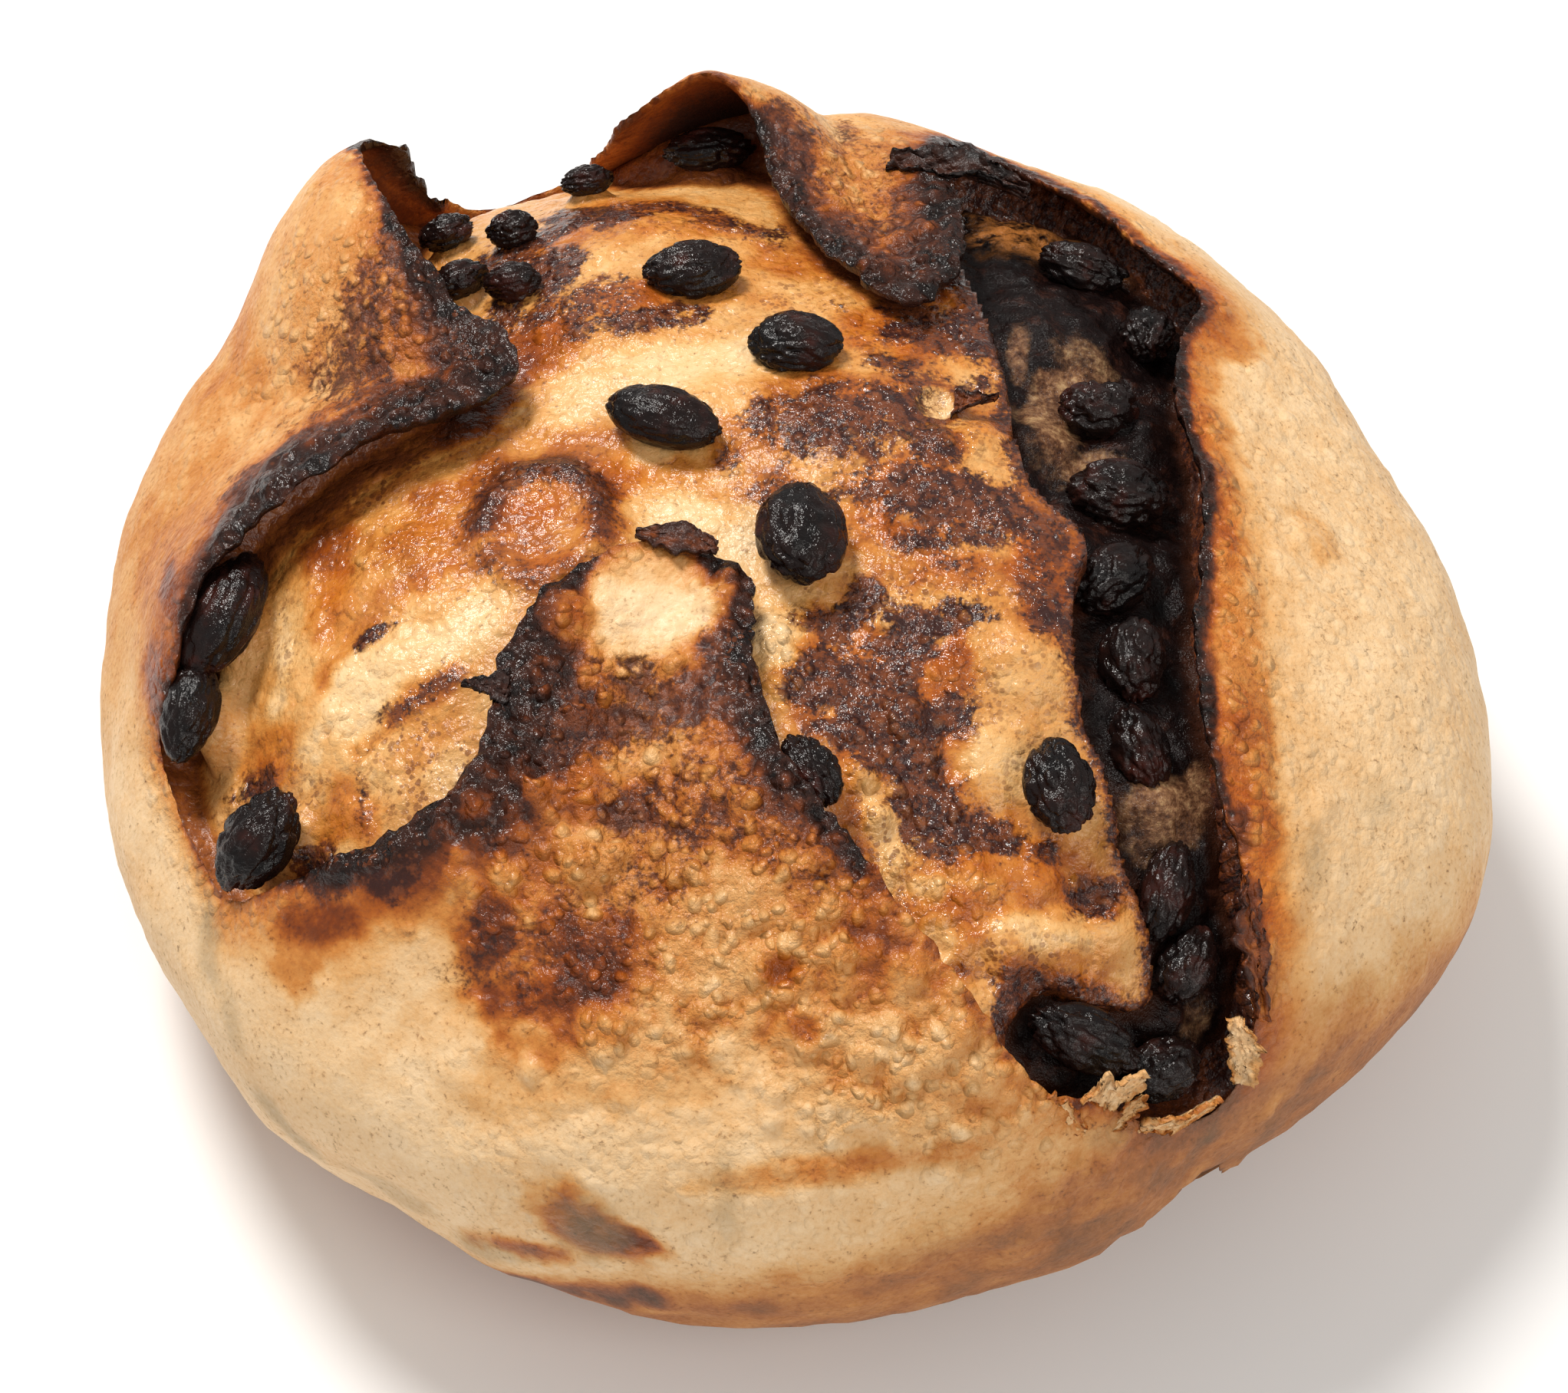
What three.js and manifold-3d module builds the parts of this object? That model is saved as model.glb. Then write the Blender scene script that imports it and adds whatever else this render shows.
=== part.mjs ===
// A round raisin sourdough loaf whose top crust burst open in the oven: one solid for the crust,
// its raised flaps and the crumb between them, and one solid for each raisin.
// Millimetres, +Z up. The origin is on the flat foot, under the middle of the crown.
// A place on the loaf is a map point (u, v): its distance over the crust from the crown, along +X and +Y.
import * as THREE from 'three';
import { mergeVertices } from 'three/addons/utils/BufferGeometryUtils.js';
import Module from 'manifold-3d';

const wasm = await Module();
wasm.setup();

// The whole loaf
const LOAF_RADIUS = 107;
const PLAN_COSINES = [0.005, -0.002, 0.004, 0.0, -0.007, -0.001];
const PLAN_SINES = [0.016, -0.009, -0.003, -0.006, -0.011, -0.008];
const WIDEST_HEIGHT = 42;
const CROWN_HEIGHT = 88;
const FOOT_CUT = 3; // the round underside is flattened this far above its lowest point
const UPPER_ROUNDNESS = 2.25;
const LOWER_ROUNDNESS = 2.8;
const UNEVENNESS = 0.7;
const UNEVEN_TO = [130, 170]; // distances from the crown between which the unevenness dies away

// Crust and crumb
const SKIN = 3; // thickness of the crust where it stands free
const FUSED_DEPTH = 1.2; // how far the crumb reaches into the attached crust
const CRUMB_CROWN = 2.2; // the crumb rises above the crust's own curve here,
const CRUMB_FALL = 6; // and drops this much by the fall radius
const FALL_RADIUS = 95;
const UNDERCUT = 4; // how far the gap runs in under a flap, and how much more for each mm of lift
const UNDERCUT_PER_LIFT = 0.9;
const UNDERCUT_CLOSING = 0.6; // share of the undercut after which the gap starts to close
const RISE_REACH = 20; // how far back from its torn edge a flap starts to rise
const RISE_REACH_PER_LIFT = 1.2;
const TRENCH_FLOOR = -7.5;
const INNER_FOOT = 2; // the crust is this thick under the crumb
const CRUMB_FOOT = 1;
const OPENING_FLOOR = 20;
const TRENCH_BOTTOM = 47;
const CUT_TOP = 150;

// Mesh fineness
const AROUND = 66;
const DOWN = 38;
const ROW_CROWDING = 0.38; // how much closer the rows of the mesh lie near the crown
const SECTION_STEPS = 400;
const EDGE_STEPS = 100;
const TRENCH_STEPS = 50;

// The torn edge of the crust: map point and how far the crust is lifted there
const TORN_EDGE = [
  // left flap, from its tip down to its low corner
  [-41, 21, 9], [-46, 13, 9], [-56, 5, 9], [-67, 0, 9], [-76, -6, 8], [-83, -12, 8], [-88, -21, 6],
  [-92, -29, 4], [-96, -35, 1], [-93, -46, 0], [-88, -57, 0], [-82, -62, 1],
  // front flap, up its left side, round its tip and down its right side
  [-69, -61, 3], [-57, -58, 5], [-50, -54, 6.5], [-45, -49, 7], [-44, -39, 7], [-38, -32, 7],
  [-33, -26, 8], [-28, -23, 7], [-23, -18, 7], [-15, -16, 7], [-9, -19, 7], [-4, -23, 7.5],
  [-4, -31, 7.5], [-3, -40, 7], [0, -50, 6.5], [7, -60, 6], [14, -70, 5.5], [22, -79, 4.5],
  [28, -87, 3], [36, -95, 1],
  // right rim, from the front corner to the back
  [47, -97, 0.5], [58, -98, 0.5], [68, -93, 1], [70, -79, 2], [67, -68, 2], [64, -57, 2], [60, -47, 2],
  [58, -36, 2], [57, -23, 2], [60, -8, 2], [63, 7, 2], [61, 21, 2], [62, 36, 2], [66, 47, 2.5],
  [58, 57, 2], [50, 68, 2], [40, 81, 2], [30, 87, 3],
  // back tongue and the arch beside it
  [25, 79, 5], [25, 69, 6], [28, 60, 6], [28, 51, 6], [25, 38, 6], [19, 32, 6], [12, 38, 6], [5, 48, 6],
  [0, 58, 6], [-3, 70, 9], [-6, 75, 15], [-11, 76, 18], [-16, 76, 16], [-24, 79, 10], [-31, 88, 2],
  // back rim, then the curled peak of the left flap
  [-35, 97, -2], [-46, 100, -3], [-58, 96, -2], [-60, 84, 4], [-57, 71, 14], [-61, 62, 20],
  [-56, 46, 20], [-51, 35, 18], [-50, 28, 13], [-46, 26, 10],
];

// The trench between the crumb and the right rim, clockwise from its front end
const TRENCH_EDGE = [
  [33, -90], [38, -82], [46, -83], [56, -83], [56, -76], [54, -69], [50, -61], [49, -55], [46, -46],
  [43, -38], [41, -29], [41, -18], [43, -10], [38, -3], [36, 4], [35, 19], [32, 32], [28, 50], [27, 62],
  [24, 76], [30, 90], [46, 84], [60, 64], [72, 50], [66, 36], [66, 20], [66, 6], [62, -10], [61, -24],
  [62, -38], [66, -58], [73, -78], [70, -94], [56, -99], [42, -98],
];

// Soft swells (+) and hollows (-) of the crust, the crumb and the trench's floor: map point, radius, height
const CRUST_SWELLS = [
  [-88, 48, 26, 4], [12, 96, 18, 4.5], [62, 78, 26, 0.8], [-93, -93, 22, 2.2], [125, -45, 26, 2.2],
];
const CRUMB_SWELLS = [
  [-90, -32, 14, -4], [-80, -57, 12, -3], [-84, -14, 10, -3], [-35, -2, 9, 1.6], [-52, -22, 16, 1.6],
  [-30, 30, 18, 1], [20, 8, 16, 1.2], [30, -30, 12, 1.5], [14, -64, 12, -2.5], [38, -70, 12, 1.2],
  [-22, 62, 16, 1], [-70, -34, 10, 1],
];
const TRENCH_SWELLS = [
  [45, 41, 11, 4], [41, 16, 6, 3], [57, 19, 7, 3.5], [55, -50, 6, 3], [44, -2, 6, 1.5], [64, -86, 7, 2],
];

// Raisins: map point, height of the middle over the crust's curve, length, width, thickness, degrees turned
const RAISINS = [
  // on the crumb dome
  [-17, 8, 5.2, 18, 10, 8, -22], [-13, 40, 4.4, 15, 10, 8, 8], [2, 23, 5.2, 13.5, 11, 8, 0],
  [3, -15, 5.8, 17, 13, 9, 95], [39, -53, 3, 13, 10, 8, 100], [4, -52, 3.2, 11, 8, 7, 120],
  // under the arch and at the back left
  [-12, 84, 1.6, 14, 9, 7, 0], [-31, 73, 1.6, 8, 6, 5, 10], [-42, 59, 2.2, 8, 7, 6, 0],
  [-54, 65, 1.2, 9, 7, 6, 10], [-41, 43, 3, 9, 7, 6, 0], [-50, 47, 2.4, 9, 6.5, 6, 20],
  // along the left wall
  [-84, -14, 1.4, 19, 11, 9, 62], [-91, -29, 0, 15, 8, 8, 70], [-78, -54, 0.4, 16, 11, 9, 45],
  // in the trench, from the back to the front
  [49, 60, -4, 14, 9, 8, -10], [59, 44, -4, 11, 9, 8, 80], [50, 23, -4, 12, 10, 9, 10],
  [52, 5, -4.5, 15, 11, 10, 5], [48, -12, -4.5, 14, 10, 10, 40], [50, -26, -4.5, 13, 10, 10, 90],
  [52, -41, -5, 13, 8.5, 9, 110], [57, -64, -4, 14, 8, 8, 80], [61, -75, -3.5, 11, 8, 8, 70],
  [45, -88, -3, 16, 9, 8, -25], [60, -92, -4, 11, 9, 8, 30],
];
const RAISIN_GAP = 0.35;
const RAISIN_WRINKLE = 0.07;

const crustLook = new THREE.MeshStandardMaterial({ color: 0xc9904f, roughness: 0.8, metalness: 0 });
const raisinLook = new THREE.MeshStandardMaterial({ color: 0x1c100c, roughness: 0.45, metalness: 0 });

// Plan radius of the loaf at its widest, in one direction from its middle
function planRadius(angle) {
  let share = 1;
  for (let i = 0; i < PLAN_COSINES.length; i += 1) {
    share += PLAN_COSINES[i] * Math.cos((i + 1) * angle) + PLAN_SINES[i] * Math.sin((i + 1) * angle);
  }
  return LOAF_RADIUS * share;
}

// The loaf's section from the crown down to the middle of the foot, with its running length and normal
function sectionOfLoaf() {
  const rows = [];
  for (let i = 0; i <= 2 * SECTION_STEPS; i += 1) {
    const tilt = (Math.PI / 2) * (1 - i / SECTION_STEPS);
    const upper = i <= SECTION_STEPS;
    const roundness = upper ? UPPER_ROUNDNESS : LOWER_ROUNDNESS;
    const height = upper ? CROWN_HEIGHT - WIDEST_HEIGHT : -(WIDEST_HEIGHT + FOOT_CUT);
    const out = Math.abs(Math.cos(tilt)) ** (2 / roundness);
    const rise = Math.abs(Math.sin(tilt)) ** (2 / roundness);
    const z = WIDEST_HEIGHT + height * rise;
    const normal = new THREE.Vector2(out ** (roundness - 1) / LOAF_RADIUS, rise ** (roundness - 1) / height);
    normal.normalize();
    const last = rows[rows.length - 1];
    const arc = last ? last.arc + Math.hypot((out - last.out) * LOAF_RADIUS, z - last.z) : 0;
    rows.push({ arc, out, z, normal });
  }
  return rows;
}

const SECTION = sectionOfLoaf();
const SECTION_LENGTH = SECTION[SECTION.length - 1].arc;

// The section's row at a distance from the crown, between the two nearest sampled rows
function sectionAt(arc) {
  let low = 0;
  let high = SECTION.length - 1;
  while (high - low > 1) {
    const middle = (low + high) >> 1;
    if (SECTION[middle].arc > arc) high = middle;
    else low = middle;
  }
  const [a, b] = [SECTION[low], SECTION[high]];
  const t = THREE.MathUtils.clamp((arc - a.arc) / (b.arc - a.arc), 0, 1);
  const mix = THREE.MathUtils.lerp;
  return { out: mix(a.out, b.out, t), z: mix(a.z, b.z, t), normal: a.normal.clone().lerp(b.normal, t) };
}

// The point over a map point, lifted off the crust's own curve
function pointOn(u, v, lift) {
  const row = sectionAt(Math.hypot(u, v));
  const angle = Math.atan2(v, u);
  const radius = row.out * planRadius(angle) + lift * row.normal.x;
  return new THREE.Vector3(radius * Math.cos(angle), radius * Math.sin(angle), row.z + lift * row.normal.y);
}

function smoothstep(low, high, x) {
  return THREE.MathUtils.smoothstep(x, low, high);
}

function edgeCurve(points) {
  const places = points.map(([u, v, lift = 0]) => new THREE.Vector3(u, v, lift));
  return new THREE.CatmullRomCurve3(places, true, 'centripetal');
}

const TORN_SAMPLES = edgeCurve(TORN_EDGE).getSpacedPoints(2 * EDGE_STEPS).slice(1);

// Whether a map point lies inside the opening
function isInOpening(u, v) {
  let inside = false;
  for (let i = 0, j = TORN_SAMPLES.length - 1; i < TORN_SAMPLES.length; j = i, i += 1) {
    const [a, b] = [TORN_SAMPLES[i], TORN_SAMPLES[j]];
    if (a.y > v !== b.y > v && u < ((b.x - a.x) * (v - a.y)) / (b.y - a.y) + a.x) inside = !inside;
  }
  return inside;
}

// The distance to the torn edge, and the lift of the stretches of edge close by
function nearTornEdge(u, v) {
  let nearest = Infinity;
  let weights = 0;
  let lifts = 0;
  for (const edge of TORN_SAMPLES) {
    const gap = (u - edge.x) ** 2 + (v - edge.y) ** 2 + 1;
    nearest = Math.min(nearest, gap);
    weights += gap ** -2;
    lifts += edge.z * gap ** -2;
  }
  return { distance: Math.sqrt(nearest - 1), lift: lifts / weights };
}

// The loaf's own gentle unevenness, which dies away towards the foot
function unevenness(u, v) {
  const waves = Math.sin(u / 9 + 1.3) * Math.sin(v / 11 + 0.4) + Math.sin((u + v) / 15);
  return UNEVENNESS * waves * (1 - smoothstep(UNEVEN_TO[0], UNEVEN_TO[1], Math.hypot(u, v)));
}

function swellLift(swells, u, v) {
  let lift = 0;
  for (const [swellU, swellV, radius, height] of swells) {
    lift += height * Math.exp(-((u - swellU) ** 2 + (v - swellV) ** 2) / radius ** 2);
  }
  return lift;
}

// How far the crust's outside is lifted: most at the torn edge, dying away behind it
function crustLift(u, v) {
  const edge = nearTornEdge(u, v);
  const reach = RISE_REACH + RISE_REACH_PER_LIFT * Math.abs(edge.lift);
  const rise = edge.lift * smoothstep(0, 1, 1 - edge.distance / reach);
  return rise + swellLift(CRUST_SWELLS, u, v) + unevenness(u, v);
}

// The crumb's surface in the opening, which goes on a little way under the flaps
function crumbLift(u, v) {
  const fall = CRUMB_FALL * (Math.hypot(u, v) / FALL_RADIUS) ** 2;
  const lift = CRUMB_CROWN - fall + swellLift(CRUMB_SWELLS, u, v) + unevenness(u, v);
  if (isInOpening(u, v)) return lift;
  const edge = nearTornEdge(u, v);
  const undercut = UNDERCUT + UNDERCUT_PER_LIFT * Math.abs(edge.lift);
  const attached = crustLift(u, v) - SKIN + FUSED_DEPTH;
  const closing = smoothstep(UNDERCUT_CLOSING * undercut, undercut, edge.distance);
  return THREE.MathUtils.lerp(lift, attached, closing);
}

function trenchLift(u, v) {
  return TRENCH_FLOOR + swellLift(TRENCH_SWELLS, u, v) + unevenness(u, v);
}

function toManifold(geometry) {
  const bare = geometry.clone();
  bare.deleteAttribute('normal');
  bare.deleteAttribute('uv');
  const merged = mergeVertices(bare);
  const vertProperties = new Float32Array(merged.attributes.position.array);
  const triVerts = new Uint32Array(merged.index.array);
  return new wasm.Manifold(new wasm.Mesh({ numProp: 3, vertProperties, triVerts }));
}

function toGeometry(manifold) {
  const mesh = manifold.getMesh();
  const geometry = new THREE.BufferGeometry();
  geometry.setAttribute('position', new THREE.BufferAttribute(mesh.vertProperties, 3));
  geometry.setIndex(new THREE.BufferAttribute(mesh.triVerts, 1));
  geometry.computeVertexNormals();
  return geometry;
}

// A closed body over the whole loaf: its outside lifted by a function of the map point, its foot flat
function wholeBody(liftAt, footHeight) {
  const geometry = new THREE.SphereGeometry(1, AROUND, DOWN);
  const position = geometry.attributes.position;
  for (let i = 0; i < position.count; i += 1) {
    const polar = Math.acos(THREE.MathUtils.clamp(position.getY(i), -1, 1)) / Math.PI;
    const angle = Math.atan2(-position.getZ(i), position.getX(i));
    const arc = SECTION_LENGTH * ((1 - ROW_CROWDING) * polar + ROW_CROWDING * polar ** 3);
    const [u, v] = [arc * Math.cos(angle), arc * Math.sin(angle)];
    const point = pointOn(u, v, liftAt(u, v));
    position.setXYZ(i, point.x, point.y, Math.max(point.z, footHeight));
  }
  return toManifold(geometry);
}

// An upright block, from a bottom height to above the loaf, over the stretch of map that an edge encloses
function uprightBlock(curve, steps, bottom) {
  const outline = [];
  for (const place of curve.getSpacedPoints(steps).slice(1)) {
    const point = pointOn(place.x, place.y, place.z);
    outline.push(new THREE.Vector2(point.x, point.y));
  }
  const geometry = new THREE.ExtrudeGeometry(new THREE.Shape(outline), {
    depth: CUT_TOP - bottom,
    steps: 1,
    bevelEnabled: false,
  });
  geometry.translate(0, 0, bottom);
  return toManifold(geometry);
}

// A wrinkled raisin about its own middle, length along X
function raisinGeometry(length, width, thickness, seed, margin) {
  const geometry = new THREE.IcosahedronGeometry(1, 1);
  const position = geometry.attributes.position;
  for (let i = 0; i < position.count; i += 1) {
    const p = new THREE.Vector3().fromBufferAttribute(position, i);
    const wrinkle = 1 + RAISIN_WRINKLE * Math.sin(7 * p.x + seed) * Math.cos(6 * p.y + 2 * seed + 3 * p.z);
    const halves = new THREE.Vector3(length, width, thickness).multiplyScalar(wrinkle / 2).addScalar(margin);
    p.multiply(halves);
    position.setXYZ(i, p.x, p.y, p.z);
  }
  return geometry;
}

// Where a raisin lies: its middle over a map point, its thickness along the surface's normal
function placeRaisin(mesh, u, v, lift, heading) {
  const middle = pointOn(u, v, lift);
  const up = pointOn(u, v, lift + 1).sub(middle).normalize();
  const flat = new THREE.Vector3(Math.cos(heading), Math.sin(heading), 0);
  const across = new THREE.Vector3().crossVectors(up, flat).normalize();
  const along = new THREE.Vector3().crossVectors(across, up);
  mesh.quaternion.setFromRotationMatrix(new THREE.Matrix4().makeBasis(along, across, up));
  mesh.position.copy(middle);
  mesh.updateMatrix();
}

// The largest connected skin of a solid, so that sealed pockets are filled and loose scraps dropped
function outerSkin(manifold) {
  const skins = manifold.decompose();
  return skins.reduce((largest, skin) => (skin.volume() > largest.volume() ? skin : largest));
}

// The crust less its opening and the gaps under its flaps, joined with the crumb
function buildLoaf(raisinSockets) {
  const outside = wholeBody(crustLift, 0);
  const inside = wholeBody((u, v) => crustLift(u, v) - SKIN, INNER_FOOT);
  const opening = uprightBlock(edgeCurve(TORN_EDGE), EDGE_STEPS, OPENING_FLOOR);
  const trenchFloor = wholeBody(trenchLift, INNER_FOOT);
  const trench = uprightBlock(edgeCurve(TRENCH_EDGE), TRENCH_STEPS, TRENCH_BOTTOM).subtract(trenchFloor);
  const crumb = wholeBody(crumbLift, CRUMB_FOOT).subtract(trench);
  let loaf = outside.subtract(opening).subtract(inside).add(crumb);
  for (const socket of raisinSockets) {
    loaf = loaf.subtract(socket);
  }
  const mesh = new THREE.Mesh(toGeometry(outerSkin(loaf)), crustLook);
  mesh.name = 'loaf';
  return mesh;
}

const object = new THREE.Group();
const sockets = [];
RAISINS.forEach(([u, v, lift, length, width, thickness, degrees], i) => {
  const raisin = new THREE.Mesh(raisinGeometry(length, width, thickness, i, 0), raisinLook);
  raisin.name = `raisin_${String(i + 1).padStart(2, '0')}`;
  placeRaisin(raisin, u, v, lift, THREE.MathUtils.degToRad(degrees));
  const socket = raisinGeometry(length, width, thickness, i, RAISIN_GAP);
  sockets.push(toManifold(socket.applyMatrix4(raisin.matrix)));
  object.add(raisin);
});
object.add(buildLoaf(sockets));

export default object;
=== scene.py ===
import math
import bpy
import bmesh
import numpy as np
from mathutils import Matrix, Vector


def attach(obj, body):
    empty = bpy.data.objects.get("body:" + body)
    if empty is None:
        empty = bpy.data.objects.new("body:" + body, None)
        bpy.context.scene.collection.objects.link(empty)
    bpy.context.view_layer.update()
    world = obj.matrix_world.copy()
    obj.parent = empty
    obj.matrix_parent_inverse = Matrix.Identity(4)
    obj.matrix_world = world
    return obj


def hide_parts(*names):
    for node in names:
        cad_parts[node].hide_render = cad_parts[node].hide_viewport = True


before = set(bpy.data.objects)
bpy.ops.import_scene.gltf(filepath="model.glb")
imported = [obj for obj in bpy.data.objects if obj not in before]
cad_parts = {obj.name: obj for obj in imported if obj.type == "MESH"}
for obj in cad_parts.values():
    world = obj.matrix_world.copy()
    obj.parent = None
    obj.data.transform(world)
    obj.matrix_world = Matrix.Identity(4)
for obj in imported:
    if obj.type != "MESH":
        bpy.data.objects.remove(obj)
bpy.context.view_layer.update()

mm = 0.001
print("frame loaded")

# The loaf's own form. Lengths in the dictionaries are millimetres; meshes are made in metres.
# A place on the loaf is a map point (u, v): its distance over the crust from the crown, along +X and +Y.
loafForm = {
    "radius": 107,
    "planCosines": [0.005, -0.002, 0.004, 0.0, -0.007, -0.001],
    "planSines": [0.016, -0.009, -0.003, -0.006, -0.011, -0.008],
    "widestHeight": 42,
    "crownHeight": 88,
    "footCut": 3,
    "upperRoundness": 2.25,
    "lowerRoundness": 2.8,
    "unevenness": 0.7,
    "unevenTo": (130, 170),
}


def planRadius(angle):
    share = np.ones_like(angle)
    for k, (c, s) in enumerate(zip(loafForm["planCosines"], loafForm["planSines"]), 1):
        share = share + c * np.cos(k * angle) + s * np.sin(k * angle)
    return loafForm["radius"] * share


def sectionTable(steps=400):
    f = loafForm
    tilt = np.linspace(math.pi / 2, -math.pi / 2, 2 * steps + 1)
    upper = tilt >= 0
    roundness = np.where(upper, f["upperRoundness"], f["lowerRoundness"])
    height = np.where(upper, f["crownHeight"] - f["widestHeight"], -(f["widestHeight"] + f["footCut"]))
    out = np.abs(np.cos(tilt)) ** (2 / roundness)
    rise = np.abs(np.sin(tilt)) ** (2 / roundness)
    z = f["widestHeight"] + height * rise
    normalOut = out ** (roundness - 1) / f["radius"]
    normalUp = rise ** (roundness - 1) / height
    size = np.hypot(normalOut, normalUp)
    steps = np.hypot(np.diff(out * f["radius"]), np.diff(z))
    arc = np.concatenate([[0], np.cumsum(steps)])
    return {"arc": arc, "out": out, "z": z, "normalOut": normalOut / size, "normalUp": normalUp / size}


section = sectionTable()


def pointOn(u, v, lift):  # the point over a map point, lifted off the crust's own curve
    arc = np.hypot(u, v)
    angle = np.arctan2(v, u)
    keys = ("out", "z", "normalOut", "normalUp")
    row = {key: np.interp(arc, section["arc"], section[key]) for key in keys}
    radius = row["out"] * planRadius(angle) + lift * row["normalOut"]
    height = row["z"] + lift * row["normalUp"]
    return np.stack([radius * np.cos(angle), radius * np.sin(angle), height], axis=-1)


def mapOf(points):  # the map point and lift of any point near the crust
    angle = np.arctan2(points[:, 1], points[:, 0])
    out = np.hypot(points[:, 0], points[:, 1]) / planRadius(angle) * loafForm["radius"]
    z = points[:, 2]
    arc = np.interp(out, section["out"][:401] * loafForm["radius"], section["arc"][:401])
    low = z < loafForm["widestHeight"]
    arc = np.where(low, 2 * section["arc"][400] - arc, arc)
    for _ in range(14):
        baseOut = np.interp(arc, section["arc"], section["out"]) * loafForm["radius"]
        baseZ = np.interp(arc, section["arc"], section["z"])
        nOut = np.interp(arc, section["arc"], section["normalOut"])
        nUp = np.interp(arc, section["arc"], section["normalUp"])
        along = (out - baseOut) * nUp - (z - baseZ) * nOut
        arc = np.clip(arc + 0.7 * along, 0, section["arc"][-1])
    lift = (out - baseOut) * nOut + (z - baseZ) * nUp
    return arc * np.cos(angle), arc * np.sin(angle), lift


def smooth(low, high, x):
    t = np.clip((x - low) / (high - low), 0, 1)
    return t * t * (3 - 2 * t)


def mix(a, b, t):
    return a + (b - a) * t


def hashOf(ix, iy, iz, seed):
    h = (ix * 374761393 + iy * 668265263 + iz * 2147483647 + seed * 1274126177) & 0xFFFFFFFF
    h = ((h ^ (h >> 13)) * 1274126177) & 0xFFFFFFFF
    return ((h ^ (h >> 16)) & 0xFFFF) / 65535.0


def cloud(x, y, z, size, seed):  # soft value noise, -1 to 1, with lumps of about the given size
    px, py, pz = x / size, y / size, z / size
    ix, iy, iz = (np.floor(p).astype(np.int64) for p in (px, py, pz))
    fx, fy, fz = px - ix, py - iy, pz - iz
    fx, fy, fz = (f * f * (3 - 2 * f) for f in (fx, fy, fz))
    total = 0
    for dx in (0, 1):
        for dy in (0, 1):
            for dz in (0, 1):
                weight = (fx if dx else 1 - fx) * (fy if dy else 1 - fy) * (fz if dz else 1 - fz)
                total = total + weight * hashOf(ix + dx, iy + dy, iz + dz, seed)
    return 2 * total - 1


def layered(x, y, z, size, seed, octaves=3):
    total = 0
    for k in range(octaves):
        total = total + cloud(x, y, z, size / 2 ** k, seed + k) / 2 ** k
    return total / 1.6


def mapNoise(u, v, size, seed, octaves=3):
    return layered(u, v, 0 * u, size, seed, octaves)


# Torn edge of the crust: map point, lift, width of the burnt edge, width of the golden band
tornEdge = {
    "points": [
        # left flap, from its tip down to its low corner
        (-38, 18, 9, 14, 30), (-43, 11, 9, 13, 28), (-56, 5, 9, 12, 24), (-67, 0, 9, 10.5, 20),
        (-76, -6, 8, 7, 18), (-83, -12, 8, 2.6, 13), (-88, -21, 6, 1, 12), (-92, -29, 4, 1.5, 10),
        (-96, -35, 1, 0.5, 5), (-93, -46, 0, 0.3, 3), (-88, -57, 0, 0.3, 3), (-82, -62, 1, 0.5, 8),
        # front flap, up its left side, round its tip and down its right side
        (-69, -61, 3, 2, 16), (-57, -59.5, 5, 6, 22), (-48.5, -56, 6.5, 9, 26), (-42.5, -51, 7, 12, 28),
        (-40.5, -43, 7, 13, 28), (-38.5, -35, 7, 12, 28), (-34, -26.5, 8, 9, 24), (-29, -22, 7, 2.6, 12),
        (-23, -18, 7, 1.2, 6), (-15, -16, 7, 1.4, 6), (-9, -19, 7, 2.5, 8), (-4, -23, 7.5, 4, 10),
        (-4, -31, 7.5, 4.5, 18), (-3, -40, 7, 6, 24), (0, -50, 6.5, 5, 28), (7, -60, 6, 2.5, 30),
        (14, -70, 5.5, 0.8, 30), (22, -79, 4.5, 0.6, 26), (28, -87, 3, 0.6, 20), (36, -95, 1, 0.3, 12),
        # right rim, from the front corner to the back
        (47, -97, 0.5, 0.2, 3), (58, -98, 0.5, 0.2, 3), (68, -93, 1, 0.4, 5), (70, -79, 2, 1, 9),
        (67, -68, 2, 1, 9), (64, -57, 2, 1, 10), (60, -47, 2, 1.2, 12), (58, -36, 2, 1.4, 14),
        (57, -23, 2, 1.8, 15), (60, -8, 2, 2.2, 12), (63, 7, 2, 2.0, 9), (61, 21, 2, 1.8, 8),
        (62, 36, 2, 2.0, 10), (66, 47, 2.5, 1.2, 10), (58, 57, 2, 1.2, 3), (50, 68, 2, 1, 3),
        (40, 81, 2, 1, 6), (30, 87, 3, 3, 8),
        # back tongue and the arch beside it
        (25, 79, 5, 3, 14), (25, 69, 6, 4, 20), (28, 60, 6, 6, 24), (28, 51, 6, 8, 24), (25, 38, 6, 9, 24),
        (19, 32, 6, 9, 24), (12, 38, 6, 8, 24), (5, 48, 6, 7, 24), (0, 58, 6, 6, 22), (-3, 70, 9, 4, 18),
        (-6, 75, 15, 1, 14), (-11, 76, 18, 1, 14), (-16, 76, 16, 1, 14), (-24, 79, 10, 0.8, 8),
        (-31, 88, 2, 0.5, 5),
        # back rim, then the curled peak of the left flap
        (-35, 97, -2, 0.3, 4), (-46, 100, -3, 0.3, 4), (-58, 96, -2, 0.5, 6), (-60, 84, 4, 2, 10),
        (-57, 71, 14, 3, 14), (-61, 62, 20, 1.5, 14), (-56, 46, 20, 1.2, 16), (-51, 35, 18, 2, 18),
        (-47.5, 30, 12.5, 6, 22), (-42, 26, 10, 9, 26),
    ],
    "reach": 20,  # how far back from its torn edge a flap starts to rise
    "reachPerLift": 1.2,
    "spacing": 0.8,  # between the points of the cut
    "ragged": 0.6,
}


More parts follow.
